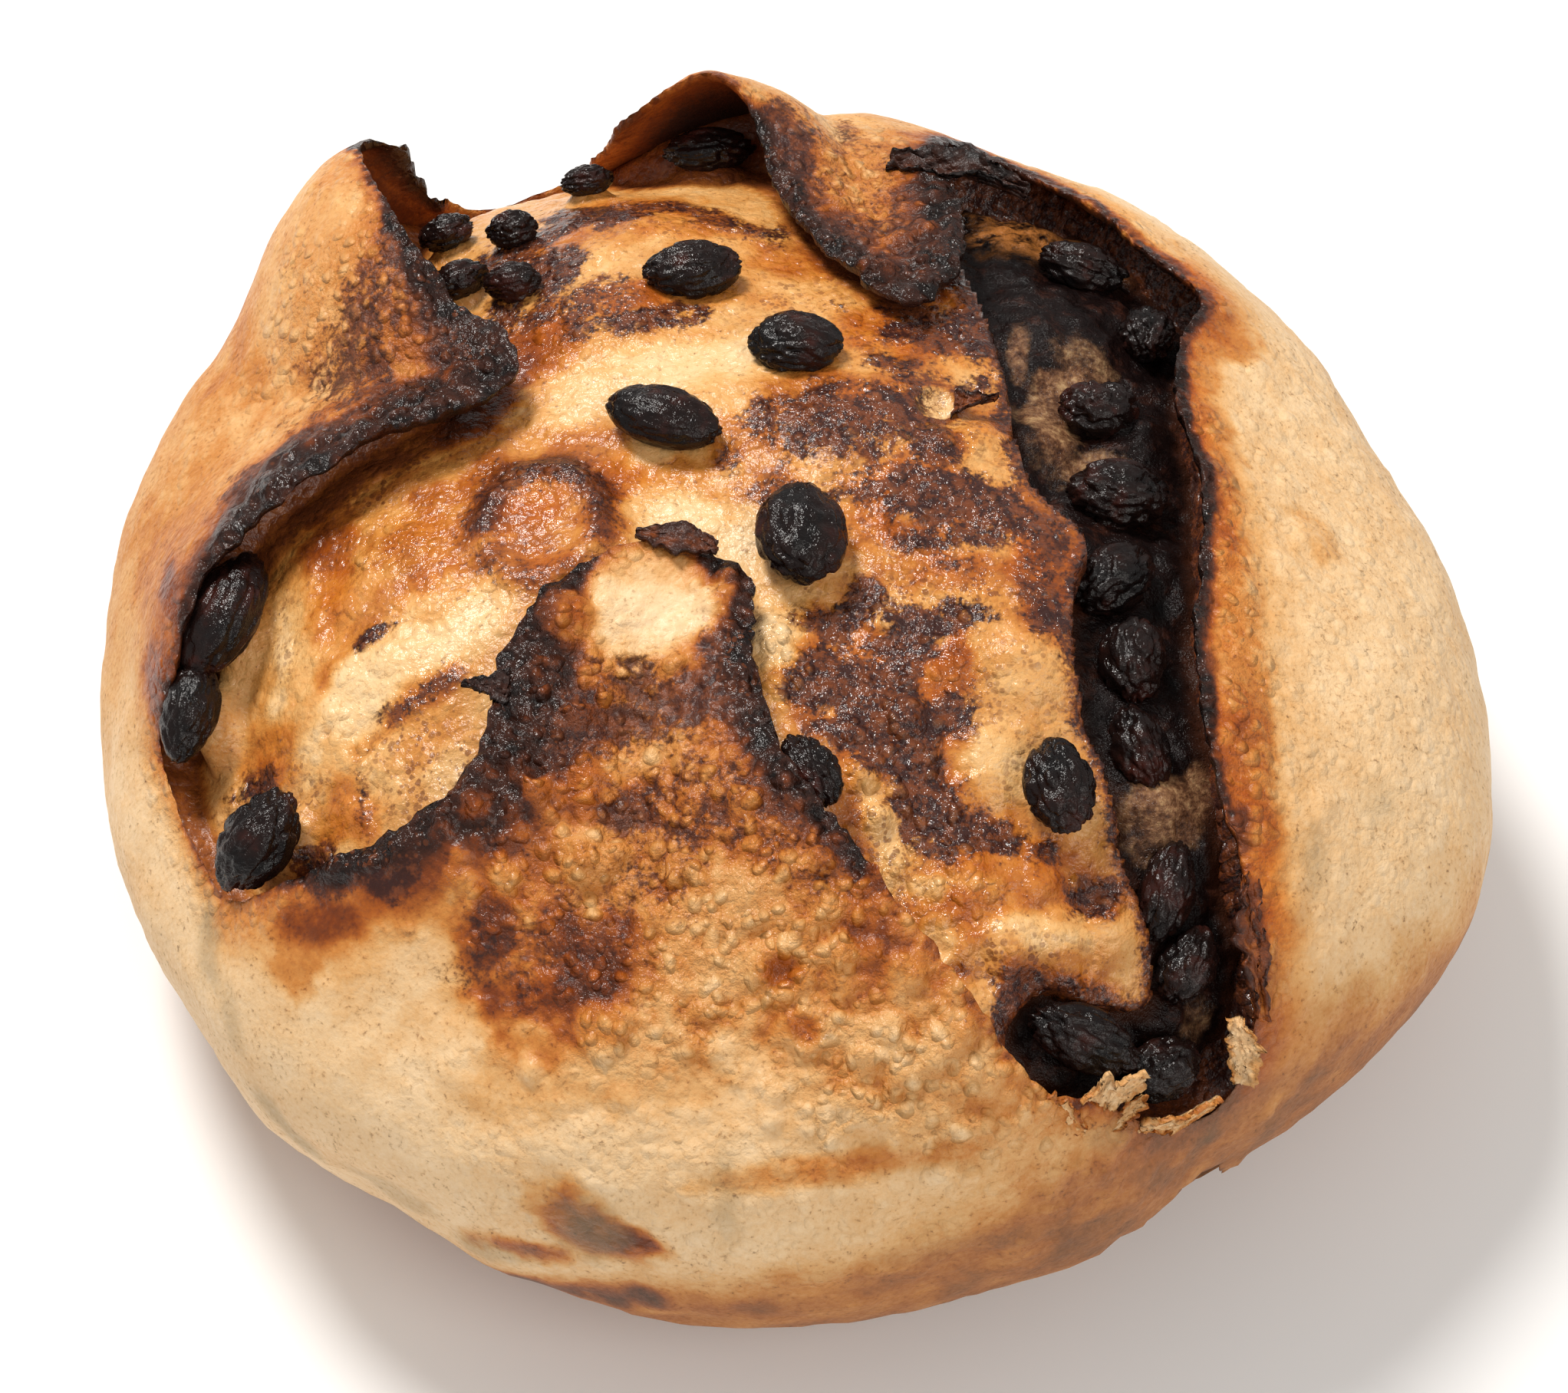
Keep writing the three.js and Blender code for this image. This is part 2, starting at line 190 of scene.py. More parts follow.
def closedCurve(points, perSpan=24):  # Catmull-Rom through the points, and back to the first
    p = np.array(points, float)
    before, after, afterNext = np.roll(p, 1, 0), np.roll(p, -1, 0), np.roll(p, -2, 0)
    t = np.linspace(0, 1, perSpan, endpoint=False)[None, :, None]
    p, before, after, afterNext = (q[:, None, :] for q in (p, before, after, afterNext))
    curve = 0.5 * (2 * p + (after - before) * t + (2 * before - 5 * p + 4 * after - afterNext) * t ** 2
                   + (3 * p - before - 3 * after + afterNext) * t ** 3)
    return curve.reshape(-1, curve.shape[-1])


def evenly(curve, spacing):
    closed = np.vstack([curve, curve[:1]])
    run = np.concatenate([[0], np.cumsum(np.hypot(*np.diff(closed[:, :2], axis=0).T))])
    stops = np.linspace(0, run[-1], int(run[-1] / spacing), endpoint=False)
    return np.stack([np.interp(stops, run, closed[:, k]) for k in range(closed.shape[1])], axis=-1)


def raggedOutline(curve, amount, seed):  # pushes an outline in and out across itself
    ahead, behind = np.roll(curve, -1, 0), np.roll(curve, 1, 0)
    across = np.stack([(ahead - behind)[:, 1], -(ahead - behind)[:, 0]], axis=-1)
    across /= np.linalg.norm(across, axis=1)[:, None] + 1e-9
    u, v = curve[:, 0], curve[:, 1]
    push = mapNoise(u, v, 5.0, seed) + 0.5 * cloud(u, v, 0 * u, 1.3, seed + 7)
    moved = curve.copy()
    moved[:, :2] += across * (amount * push)[:, None]
    return moved


edgeSmooth = evenly(closedCurve(tornEdge["points"]), 2.0)
edgeCut = evenly(closedCurve(tornEdge["points"]), tornEdge["spacing"])
edgeCut = raggedOutline(edgeCut, tornEdge["ragged"] * (1 + 0.12 * np.clip(edgeCut[:, 3:4], 0, 8))[:, 0], 11)


def nearEdge(u, v, edge=edgeSmooth):  # distance to the torn edge, and the edge's own values close by
    distance = np.empty(len(u))
    values = np.empty((len(u), edge.shape[1] - 2))
    for start in range(0, len(u), 20000):
        part = slice(start, start + 20000)
        gap = (u[part, None] - edge[None, :, 0]) ** 2 + (v[part, None] - edge[None, :, 1]) ** 2 + 1
        weight = gap ** -2
        distance[part] = np.sqrt(gap.min(axis=1) - 1)
        values[part] = (weight @ edge[:, 2:]) / weight.sum(axis=1)[:, None]
    return distance, values


def insideOutline(u, v, outline):
    inside = np.zeros(len(u), bool)
    nextPoint = np.roll(outline, -1, 0)
    for a, b in zip(outline, nextPoint):
        if a[1] == b[1]:
            continue
        crosses = (a[1] > v) != (b[1] > v)
        inside ^= crosses & (u < (b[0] - a[0]) * (v - a[1]) / (b[1] - a[1]) + a[0])
    return inside


def unevenness(u, v):
    waves = np.sin(u / 9 + 1.3) * np.sin(v / 11 + 0.4) + np.sin((u + v) / 15)
    low, high = loafForm["unevenTo"]
    return loafForm["unevenness"] * waves * (1 - smooth(low, high, np.hypot(u, v)))


def swellLift(swells, u, v):
    lift = 0 * u
    for swellU, swellV, radius, height in swells:
        lift = lift + height * np.exp(-((u - swellU) ** 2 + (v - swellV) ** 2) / radius ** 2)
    return lift


crust = {
    "swells": [
        (-88, 48, 26, 4), (12, 96, 18, 4.5), (62, 78, 26, 0.8), (-93, -93, 22, 2.2), (125, -45, 26, 2.2),
    ],
    "skin": 3.0,
    "edgeSkin": 1.2,  # the torn edge is thinner
    "icosphere": 7,
    "rowCrowding": 0.38,
    "fineReach": 18,  # the mesh is twice as fine this near the torn edge, and over the front slope
    "fineSlope": (0, -78, 52, 26),
}
crumb = {
    "crown": 2.2,
    "fall": 6,
    "fallRadius": 95,
    "swells": [
        (-90, -32, 14, -4), (-80, -57, 12, -3), (-84, -14, 10, -3), (-35, -2, 9, 1.6), (-52, -22, 16, 1.6),
        (-30, 30, 18, 1), (20, 8, 16, 1.2), (30, -30, 12, 1.5), (14, -64, 12, -2.5), (38, -70, 12, 1.2),
        (-22, 62, 16, 1), (-70, -34, 10, 1),
    ],
    "undercut": 4,
    "undercutPerLift": 0.9,
    "gridMiddle": (-14, -2),
    "gridHalf": (100, 110),
    "gridStep": 0.75,
    "trenchFloor": -7.5,
    "trenchSwells": [
        (45, 41, 11, 4), (41, 16, 6, 3), (57, 19, 7, 3.5), (55, -50, 6, 3), (44, -2, 6, 1.5),
        (64, -86, 7, 2),
    ],
}
trenchEdge = [
    (33, -90), (38, -82), (46, -83), (56, -83), (56, -76), (54, -69), (50, -61), (49, -55), (46, -46),
    (43, -38), (41, -29), (41, -18), (43, -10), (38, -3), (36, 4), (35, 19), (32, 32), (28, 50), (27, 62),
    (24, 76), (30, 90), (46, 84), (60, 64), (72, 50), (66, 36), (66, 20), (66, 6), (62, -10), (61, -24),
    (62, -38), (66, -58), (73, -78), (70, -94), (56, -99), (42, -98),
]


def crustLift(u, v):
    distance, values = nearEdge(u, v)
    lift = values[:, 0]
    reach = tornEdge["reach"] + tornEdge["reachPerLift"] * np.abs(lift)
    return lift * smooth(0, 1, 1 - distance / reach) + swellLift(crust["swells"], u, v) + unevenness(u, v)


def newPiece(name, bm, material=None):
    mesh = bpy.data.meshes.new(name)
    bm.to_mesh(mesh)
    bm.free()
    piece = bpy.data.objects.new(name, mesh)
    bpy.context.scene.collection.objects.link(piece)
    for face in mesh.polygons:
        face.use_smooth = True
    if material:
        mesh.materials.append(material)
    return piece


def placesOf(mesh):
    places = np.empty(3 * len(mesh.vertices))
    mesh.vertices.foreach_get("co", places)
    return places.reshape(-1, 3)


def setPlaces(mesh, places):
    mesh.vertices.foreach_set("co", np.ascontiguousarray(places, dtype=np.float32).ravel())
    mesh.update()


def ballToMap(ball):  # spreads a unit ball over the loaf, its rows closer together near the crown
    polar = np.arctan2(np.hypot(ball[:, 0], ball[:, 1]), ball[:, 2]) / math.pi
    angle = np.arctan2(ball[:, 1], ball[:, 0])
    crowding = crust["rowCrowding"]
    arc = section["arc"][-1] * ((1 - crowding) * polar + crowding * polar ** 3)
    return arc * np.cos(angle), arc * np.sin(angle)


def wholeBody(name, subdivisions, liftAt, footHeight, fineArea=None):  # a closed body over the whole loaf
    bm = bmesh.new()
    bmesh.ops.create_icosphere(bm, subdivisions=subdivisions, radius=1)
    if fineArea:
        fine = fineArea(*ballToMap(np.array([vert.co[:] for vert in bm.verts])))
        edges = [edge for edge in bm.edges if fine[edge.verts[0].index] and fine[edge.verts[1].index]]
        bmesh.ops.subdivide_edges(bm, edges=edges, cuts=1, use_grid_fill=True)
        bmesh.ops.triangulate(bm, faces=[face for face in bm.faces if len(face.verts) > 3])
    piece = newPiece(name, bm)
    u, v = ballToMap(placesOf(piece.data))
    places = pointOn(u, v, liftAt(u, v))
    places[:, 2] = np.maximum(places[:, 2], footHeight)
    setPlaces(piece.data, places * mm)
    return piece


def gridOf(bm):  # where the points of a flat grid lie, -1 to 1
    return np.array([vert.co[:2] for vert in bm.verts])


def moveVerts(bm, places):
    for vert, place in zip(bm.verts, places * mm):
        vert.co = place


def thicken(bm, shift):  # gives a sheet its second side, moved by the shift in mm, and walls between
    thick = bmesh.ops.extrude_face_region(bm, geom=bm.faces[:])
    moved = [g for g in thick["geom"] if isinstance(g, bmesh.types.BMVert)]
    bmesh.ops.translate(bm, verts=moved, vec=Vector(shift) * mm)
    bmesh.ops.recalc_face_normals(bm, faces=bm.faces[:])


def uprightBlock(name, outline, bottom, top):  # an upright block over a stretch of the map
    places = pointOn(outline[:, 0], outline[:, 1], outline[:, 2])
    bm = bmesh.new()
    rim = [bm.verts.new((p[0] * mm, p[1] * mm, bottom * mm)) for p in places]
    floor = bm.faces.new(rim)
    floor.normal_update()
    if floor.normal.z > 0:
        floor.normal_flip()
    bmesh.ops.triangulate(bm, faces=[floor])
    thicken(bm, (0, 0, top - bottom))
    return newPiece(name, bm)


def cutAway(piece, cutter):
    cut = piece.modifiers.new("cut", "BOOLEAN")
    cut.operation = "DIFFERENCE"
    cut.solver = "MANIFOLD"
    cut.object = cutter
    shown = bpy.context.evaluated_depsgraph_get()
    result = bpy.data.meshes.new_from_object(piece.evaluated_get(shown))
    piece.modifiers.clear()
    old = piece.data
    piece.data = result
    bpy.data.meshes.remove(old)
    bpy.data.objects.remove(cutter)


crustBlisters = {
    "seed": 5,
    # zone middle (u, v), half sizes, turn in degrees, how many, smallest and largest radius, height share
    "zones": [
        (-16, -64, 32, 24, 0, 700, 0.8, 1.7, 0.5), (10, -84, 32, 18, -20, 560, 0.9, 2.2, 0.5),
        (-28, -42, 18, 14, 40, 240, 0.7, 1.4, 0.5), (-10, -36, 9, 14, 0, 100, 0.8, 1.6, 0.5),
        (-60, 18, 20, 14, -45, 240, 0.7, 1.4, 0.4), (-68, 40, 16, 20, 0, 90, 0.8, 1.5, 0.3),
        (12, 55, 15, 22, 0, 220, 0.7, 1.5, 0.42), (88, -18, 26, 62, 0, 300, 1.0, 2.2, 0.2),
        (70, -95, 28, 32, 40, 150, 1.0, 2.2, 0.24), (10, -110, 52, 18, 0, 280, 1.0, 2.4, 0.28),
        (-50, -92, 28, 12, -20, 80, 1.0, 2.2, 0.2), (70, 70, 40, 30, -45, 80, 1.0, 2.0, 0.15),
        (62, -30, 5, 62, 3, 170, 0.7, 1.5, 0.42), (-57, 16, 15, 9, -35, 300, 0.6, 1.3, 0.5),
    ],
    # single large ones: place, radius, height
    "single": [
        (-27, -64.5, 4.4, 2.4), (-22.5, -63.5, 2.4, 1.6), (-33.5, -55.5, 2.4, 1.6), (-42, -57, 2.8, 1.4),
        (0, -80, 5.2, 1.8), (3.5, -87, 4.2, 1.5), (8, -78, 3.0, 1.9), (-25, -87, 4.6, 1.9),
        (-25, -52, 5.0, 1.6), (-30, -30, 4.4, 2.2), (5, -66, 2.4, 1.7), (13, -67, 2.6, 1.2),
        (-9, -27, 3.2, 1.3), (21, -90, 3.2, 1.3), (14, 40, 3.4, 1.4), (22, 52, 2.6, 1.5),
        (18, 50, 2.8, 1.5), (81, 0, 4.4, 1.0), (-15, -37, 2.0, 1.2), (-24, -41, 2.6, 1.4),
        (-28, -44, 2.4, 1.3), (17, -80, 3.2, 1.5), (14, -87, 2.2, 1.6), (11, -91, 2.4, 1.5),
        (-3, -71, 5.0, 1.2), (-14, -66, 2.6, 1.3), (6, -72, 3.2, 1.4), (-38, -66, 2.2, 1.1),
        (27, -94, 2.6, 1.3), (12, -98, 2.8, 1.3), (-5, -58, 2.6, 1.2), (-12, -57, 2.2, 1.2),
        (9, 60, 2.6, 1.2), (-18, -72, 3.0, 1.2), (-36, -92, 2.6, 1.2), (3, -75, 2.4, 1.3),
        (17, -93, 2.4, 1.4), (24, -88, 2.6, 1.4), (-26, -49, 2.0, 1.2),
    ],
    "craters": [(0.5, -79.8, 3.2, 2.0), (3.5, -87.5, 2.4, 1.4), (-25, -87.5, 2.8, 1.2)],  # broken, sunk in
    "wobble": (2.6, 0.7),  # size and amount
    "wrinkle": 0.5,
    "char": 1.1,  # height of the crackled lumps on the burnt rims
    "lip": 0.6,  # how far a burnt rim thins out at its very edge
}
crumbRelief = {
    "seed": 9,
    "lump": 0.9,
    "fine": 0.42,
    "bumps": [
        (17, -9, 3.0, 1.6), (15, -27.3, 2.8, 1.6), (18, -42, 3.8, 1.9), (8, 1, 1.4, 0.8),
        (16, 20, 1.2, 0.6), (31, -8, 3, 0.8), (-1, -28.5, 4.0, 1.2), (30, 8, 5, 1.2), (30, -49, 7.5, 1.8),
        (35, -34, 7, 1.4), (27, -67, 6, 1.2), (41, -74, 6, 1.8), (34, -75, 6, 1.4), (48, -73, 5, 1.4),
        (13.5, -57, 2.8, 1.7), (11.5, -51, 2.4, 1.4), (16, -64, 2.8, 1.5), (22, -67, 2.4, 1.2),
        (37, -66, 4, 0.9), (-56, -30, 6, 0.8), (24, 6, 3.4, 1.0),
    ],
    "pits": [
        (-27.7, 45.6, 0.9, 1.4), (-25.1, 46.8, 0.8, 1.3), (-26.3, 49, 0.5, 0.8), (-68, -38, 0.9, 1.5),
        (22.8, 13.6, 3.1, 1.7), (22, -76, 1.8, 1.6), (25, -79, 1.4, 1.2), (-14.5, -5, 0.7, 0.9),
    ],
    "hollows": [
        (44, -66.5, 5.5, 1.3), (37, -80.5, 5, 1.3), (29, -80, 4, 1.0), (25, -49, 3.4, 0.9),
        (-67, -12, 5.5, 1.0), (-66, -22, 5, 0.9), (-62, -40, 4.5, 0.7), (-36, 8, 6, 0.7), (7, -30, 4, 0.8),
        (24, -27, 4, 0.8), (-60, -50, 4, 0.7),
    ],
    "zones": [
        (22, -68, 18, 8, 0, 120, 0.7, 1.8, 0.34), (-34, 0, 12, 12, 0, 60, 0.6, 1.5, 0.25),
        (20, -10, 18, 30, 0, 200, 0.6, 1.6, 0.28), (-55, -38, 16, 8, 0, 50, 0.6, 1.5, 0.25),
        (-20, 50, 22, 16, 0, 70, 0.6, 1.4, 0.25), (6, -40, 4, 20, 15, 60, 0.7, 1.8, 0.35),
    ],
    "ring": {"middle": (-35, -9), "radius": 8.5, "squeeze": 0.85, "width": 2.4, "height": 1.4},
}


def ringGap(u, v):  # distance from the ring-shaped swell, negative inside it
    ring = crumbRelief["ring"]
    return np.hypot(u - ring["middle"][0], (v - ring["middle"][1]) * ring["squeeze"]) - ring["radius"]


def scatter(zones, seed):  # blisters drawn at random inside oval zones
    draw = np.random.default_rng(seed)
    rows = []
    for u, v, halfU, halfV, turn, count, small, large, share in zones:
        away = np.sqrt(draw.random(count))
        angle = draw.random(count) * 2 * math.pi
        x, y = halfU * away * np.cos(angle), halfV * away * np.sin(angle)
        c, s = math.cos(math.radians(turn)), math.sin(math.radians(turn))
        radius = small + (large - small) * draw.random(count) ** 2.2
        rows.append(np.stack([u + c * x - s * y, v + s * x + c * y, radius, radius * share], axis=-1))
    return np.concatenate(rows)


def bulges(u, v, rows, sharpness=0.55):  # the highest of many small domes
    lift = np.zeros(len(u))
    for blisterU, blisterV, radius, height in rows:
        close = np.nonzero((np.abs(u - blisterU) < radius) & (np.abs(v - blisterV) < radius))[0]
        if len(close) == 0:
            continue
        gap = ((u[close] - blisterU) ** 2 + (v[close] - blisterV) ** 2) / radius ** 2
        dome = height * np.clip(1 - gap, 0, 1) ** sharpness
        lift[close] = np.maximum(lift[close], dome)
    return lift


blisterRows = scatter(crustBlisters["zones"], crustBlisters["seed"])
crumbRows = scatter(crumbRelief["zones"], crumbRelief["seed"])


def charAt(u, v):  # how burnt the rim is, 0 to 1, in ragged patches that fray inwards
    distance, values = nearEdge(u, v)
    width = values[:, 1]
    frayed = mapNoise(u, v, 8, 71) * (1.2 + 0.32 * width) + 0.6 * mapNoise(u, v, 2.2, 72)
    return (1 - smooth(0.45, 1.25, (distance + frayed) / np.maximum(width, 0.2))) * smooth(0.3, 1.6, width)


def blisterLift(u, v):  # the crust's blisters, with wobbled outlines
    size, amount = crustBlisters["wobble"]
    wobbledU = u + amount * mapNoise(u, v, size, 45)
    wobbledV = v + amount * mapNoise(u, v, size, 46)
    scattered = bulges(wobbledU, wobbledV, blisterRows, 0.8)
    return scattered + bulges(wobbledU, wobbledV, crustBlisters["single"], 1.0)


def crustDetail(u, v):
    lift = blisterLift(u, v) - bulges(u, v, crustBlisters["craters"], 1.2)
    fade = 1 - smooth(150, 185, np.hypot(u, v))
    stretch = layered(u / 3.2, v, 0 * u, 5, 31) * smooth(-80, -110, v)  # level creases low on the front
    angle = np.arctan2(v, u)
    around = layered(np.hypot(u, v) / 3.0, 40 * np.cos(angle), 40 * np.sin(angle), 4, 37)
    wrinkles = crustBlisters["wrinkle"] * (stretch + 0.7 * around + 0.8 * mapNoise(u, v, 7, 41))
    crackle = 0.1 + mapNoise(u, v, 2.6, 43) + 0.5 * mapNoise(u, v, 7, 44)
    crackle = crustBlisters["char"] * charAt(u, v) * crackle
    distance, values = nearEdge(u, v)
    lip = crustBlisters["lip"] * (1 - smooth(0, 2.4, distance)) * smooth(1, 4, values[:, 1])
    return (lift + wrinkles) * fade + crackle - lip


def crumbDetail(u, v):
    lift = crumbRelief["lump"] * mapNoise(u, v, 14, 51, 2) + crumbRelief["fine"] * mapNoise(u, v, 3.2, 53)
    lift = lift + bulges(u, v, crumbRelief["bumps"], 1.3) + bulges(u, v, crumbRows, 1.0)
    lift = lift - bulges(u, v, crumbRelief["pits"], 0.6) - bulges(u, v, crumbRelief["hollows"], 1.6)
    ring = crumbRelief["ring"]
    return lift + ring["height"] * np.exp(-(ringGap(u, v) / ring["width"]) ** 2)


def makeCrust():
    def fineArea(u, v):
        distance, _ = nearEdge(u, v)
        slopeU, slopeV, halfU, halfV = crust["fineSlope"]
        slope = np.hypot((u - slopeU) / halfU, (v - slopeV) / halfV) < 1
        outside = ~insideOutline(u, v, edgeSmooth)
        return (distance < 3) | (outside & ((distance < crust["fineReach"]) | slope))

    def outerLift(u, v):
        return crustLift(u, v) + crustDetail(u, v)

    def innerLift(u, v):
        distance, _ = nearEdge(u, v)
        skin = mix(crust["edgeSkin"], crust["skin"], smooth(0, 14, distance))
        return crustLift(u, v) - skin - 0.3 * mapNoise(u, v, 4, 47)

    piece = wholeBody("crustShell", crust["icosphere"], outerLift, 0, fineArea)
    cutAway(piece, uprightBlock("openingBlock", edgeCut, 20, 150))
    cutAway(piece, wholeBody("innerBody", 6, innerLift, 2))
    return piece


trenchOutline = evenly(closedCurve(trenchEdge), 1.5)


def trenchAt(u, v):  # distance into the trench past its ragged edge, negative outside
    gapU, gapV = u[:, None] - trenchOutline[None, :, 0], v[:, None] - trenchOutline[None, :, 1]
    gap = np.sqrt((gapU ** 2 + gapV ** 2).min(axis=1))
    inward = np.where(insideOutline(u, v, trenchOutline), gap, -gap)
    return inward + 0.7 * mapNoise(u, v, 4.5, 57) + 0.4 * mapNoise(u, v, 12, 58)


def crumbLift(u, v):
    fall = crumb["fall"] * (np.hypot(u, v) / crumb["fallRadius"]) ** 2
    lift = crumb["crown"] - fall + swellLift(crumb["swells"], u, v) + unevenness(u, v)
    distance, values = nearEdge(u, v)
    undercut = crumb["undercut"] + crumb["undercutPerLift"] * np.abs(values[:, 0])
    attached = crustLift(u, v) - crust["skin"] + 0.8
    under = ~insideOutline(u, v, edgeSmooth)
    hidden = smooth(0, 1, (distance / undercut - 0.6) / 0.4) * under
    lift = np.where(under, np.minimum(lift, crustLift(u, v) - crust["skin"] - 0.4), lift)
    return mix(lift, attached, hidden)


# Raisins: map point, lift of the middle, length, width, thickness, heading in degrees, how smooth
raisins = {
    "rows": [
        (-17, 8, 5.2, 18, 10, 8, -22, 0.8), (-13, 40, 4.4, 15, 10, 8, 8, 0.4),
        (2, 23, 5.2, 13.5, 11, 8, 0, 0.4), (3, -15, 5.8, 17, 13, 9, 95, 0.6),
        (39, -53, 3, 13, 10, 8, 100, 0.2), (4, -52, 3.2, 11, 8, 7, 120, 0.1),
        (-12, 84, 1.6, 14, 9, 7, 0, 0.2), (-31, 73, 1.6, 8, 6, 5, 10, 0.2), (-42, 59, 2.2, 8, 7, 6, 0, 0.2),
        (-54, 65, 1.2, 9, 7, 6, 10, 0.2), (-41, 43, 3, 9, 7, 6, 0, 0.4), (-50, 47, 2.4, 9, 6.5, 6, 20, 0.4),
        (-84, -15, 1.4, 21, 12, 9.5, 62, 0.7), (-90.5, -29, 0.4, 16, 9, 8, 72, 0.7),
        (-78, -54, 0.4, 16, 11, 9, 45, 0.3), (49, 60, -4, 14, 9, 8, -10, 0.1),
        (59, 44, -4, 11, 9, 8, 80, 0.1), (50, 23, -4, 12, 10, 9, 10, 0.1),
        (52, 5, -4.5, 15, 11, 10, 5, 0.1), (48, -12, -4.5, 14, 10, 10, 40, 0.2),
        (50, -26, -4.5, 13, 10, 10, 90, 0.2), (52, -41, -5, 13, 8.5, 9, 110, 0.1),
        (57, -64, -4, 14, 8, 8, 80, 0.2), (61, -75, -3.5, 11, 8, 8, 70, 0.2),
        (45, -88, -3, 16, 9, 8, -25, 0.1), (60, -92, -4, 11, 9, 8, 30, 0.1),
    ],
    "icosphere": 5,
    "onCrumb": 15,  # the first rows lie on the crumb, the rest in the trench
    "sunk": 1.3,
}


def ovalAway(u, v, middleU, middleV, halfU, halfV, turn):  # 0 in an oval's middle, 1 on its outline
    c, s = math.cos(math.radians(turn)), math.sin(math.radians(turn))
    x, y = u - middleU, v - middleV
    return np.hypot((c * x + s * y) / halfU, (-s * x + c * y) / halfV)


def nestLift(u, v, lift):  # the crumb rises to meet each raisin that lies on it
    for row in raisins["rows"][:raisins["onCrumb"]]:
        raisinU, raisinV, middle, length, width, thickness, degrees, _ = row
        away = ovalAway(u, v, raisinU, raisinV, length / 2, width / 2, degrees)
        nest = middle - thickness / 2 + raisins["sunk"]
        lift = np.maximum(lift, mix(lift, nest, 1 - smooth(0.35, 1.2, away)))
    return lift


def makeCrumb():
    bm = bmesh.new()
    halfU, halfV = crumb["gridHalf"]
    step = crumb["gridStep"]
    bmesh.ops.create_grid(bm, x_segments=int(2 * halfU / step), y_segments=int(2 * halfV / step), size=1)
    rim = [edge for edge in bm.edges if edge.is_boundary]
    skirt = bmesh.ops.extrude_edge_only(bm, edges=rim)
    hem = [g for g in skirt["geom"] if isinstance(g, bmesh.types.BMVert)]
    bmesh.ops.translate(bm, verts=hem, vec=(0, 0, -1))
    hemEdges = [g for g in skirt["geom"] if isinstance(g, bmesh.types.BMEdge) and g.is_boundary]
    bmesh.ops.triangle_fill(bm, use_beauty=True, edges=hemEdges)
    piece = newPiece("crumbDome", bm)
    grid = placesOf(piece.data)
    u, v = crumb["gridMiddle"][0] + halfU * grid[:, 0], crumb["gridMiddle"][1] + halfV * grid[:, 1]
    inside = trenchAt(u, v)
    wall = smooth(-0.8, 1.6, inside)
    lift = mix(nestLift(u, v, crumbLift(u, v) + crumbDetail(u, v)), crumb["trenchFloor"] - 5, wall)
    places = pointOn(u, v, lift)
    hemmed = grid[:, 2] < -0.5
    places[hemmed] = places[hemmed] * (0.8, 0.8, 0) + (0, 0, 30)
    setPlaces(piece.data, places * mm)
    return piece


trenchFilling = {
    "margin": 4,  # how far it runs in under the crust and the crumb
    "gridStep": 0.7,
    "thickness": 3,
    # raisin-like lumps of the black mass: seed, how many, smallest and largest radius, height share
    "lumps": (21, 330, 2.2, 5.0, 0.62),
    "fineLumps": (22, 1500, 0.6, 1.6, 0.5),
    # where pale dough shows: place, half sizes, turn in degrees, strength
    "dough": [
        (37, 36, 2.2, 7, 0, 0.8), (47, 35, 6.5, 5, -20, 0.6), (43, 22, 6, 11, 0, 0.85),
        (49, 11, 7, 5, 0, 0.9), (55, -51, 6, 9, 10, 1), (61, -46, 2.4, 5, 0, 1), (45, 29, 6, 6, 0, 1),
        (66, -84, 4, 5, 0, 0.5),
    ],
    "amber": [(40, 74, 9, 8, 0, 1), (52, 66, 6, 5, 0, 0.5)],
}


def fillingLift(u, v):
    floor = crumb["trenchFloor"] + swellLift(crumb["trenchSwells"], u, v) + unevenness(u, v)
    low, high = np.min(trenchEdge, axis=0), np.max(trenchEdge, axis=0)
    dough = ovalMask(u, v, trenchFilling["dough"], 0.4, 91)
    total = floor + 0.9 * mapNoise(u, v, 9, 92)
    for name, power, share in (("lumps", 0.6, 0.45), ("fineLumps", 0.7, 0.8)):
        seed, count, small, large, rise = trenchFilling[name]
        draw = np.random.default_rng(seed)
        places = low + (high - low) * draw.random((count, 2))
        radius = small + (large - small) * draw.random(count) ** 1.5
        rows = np.stack([places[:, 0], places[:, 1], radius, radius * rise * share], axis=-1)
        total = total + bulges(u, v, rows, power) * (1 - 0.7 * dough)
    return total


def makeFilling():
    step = trenchFilling["gridStep"]
    low, high = trenchOutline.min(axis=0) - 6, trenchOutline.max(axis=0) + 6
    size = (high - low) / 2
    middle = (high + low) / 2
    bm = bmesh.new()
    segments = [int(2 * half / step) for half in size]
    bmesh.ops.create_grid(bm, x_segments=segments[0], y_segments=segments[1], size=1)
    grid = gridOf(bm)
    u, v = middle[0] + size[0] * grid[:, 0], middle[1] + size[1] * grid[:, 1]
    keep = trenchAt(u, v) > -trenchFilling["margin"]
    bmesh.ops.delete(bm, geom=[vert for vert, kept in zip(bm.verts[:], keep) if not kept], context="VERTS")
    grid = gridOf(bm)
    u, v = middle[0] + size[0] * grid[:, 0], middle[1] + size[1] * grid[:, 1]
    moveVerts(bm, pointOn(u, v, fillingLift(u, v)))
    thicken(bm, (0, 0, -trenchFilling["thickness"]))
    piece = newPiece("trenchFilling", bm)
    places = placesOf(piece.data) / mm
    u, v, _ = mapOf(places)
    setTones(piece, {
        "dough": ovalMask(u, v, trenchFilling["dough"], 0.4, 91),
        "brown": 1 - smooth(-1, 3.5, trenchAt(u, v)),
        "amber": ovalMask(u, v, trenchFilling["amber"], 0.5, 93),
    })
    return piece


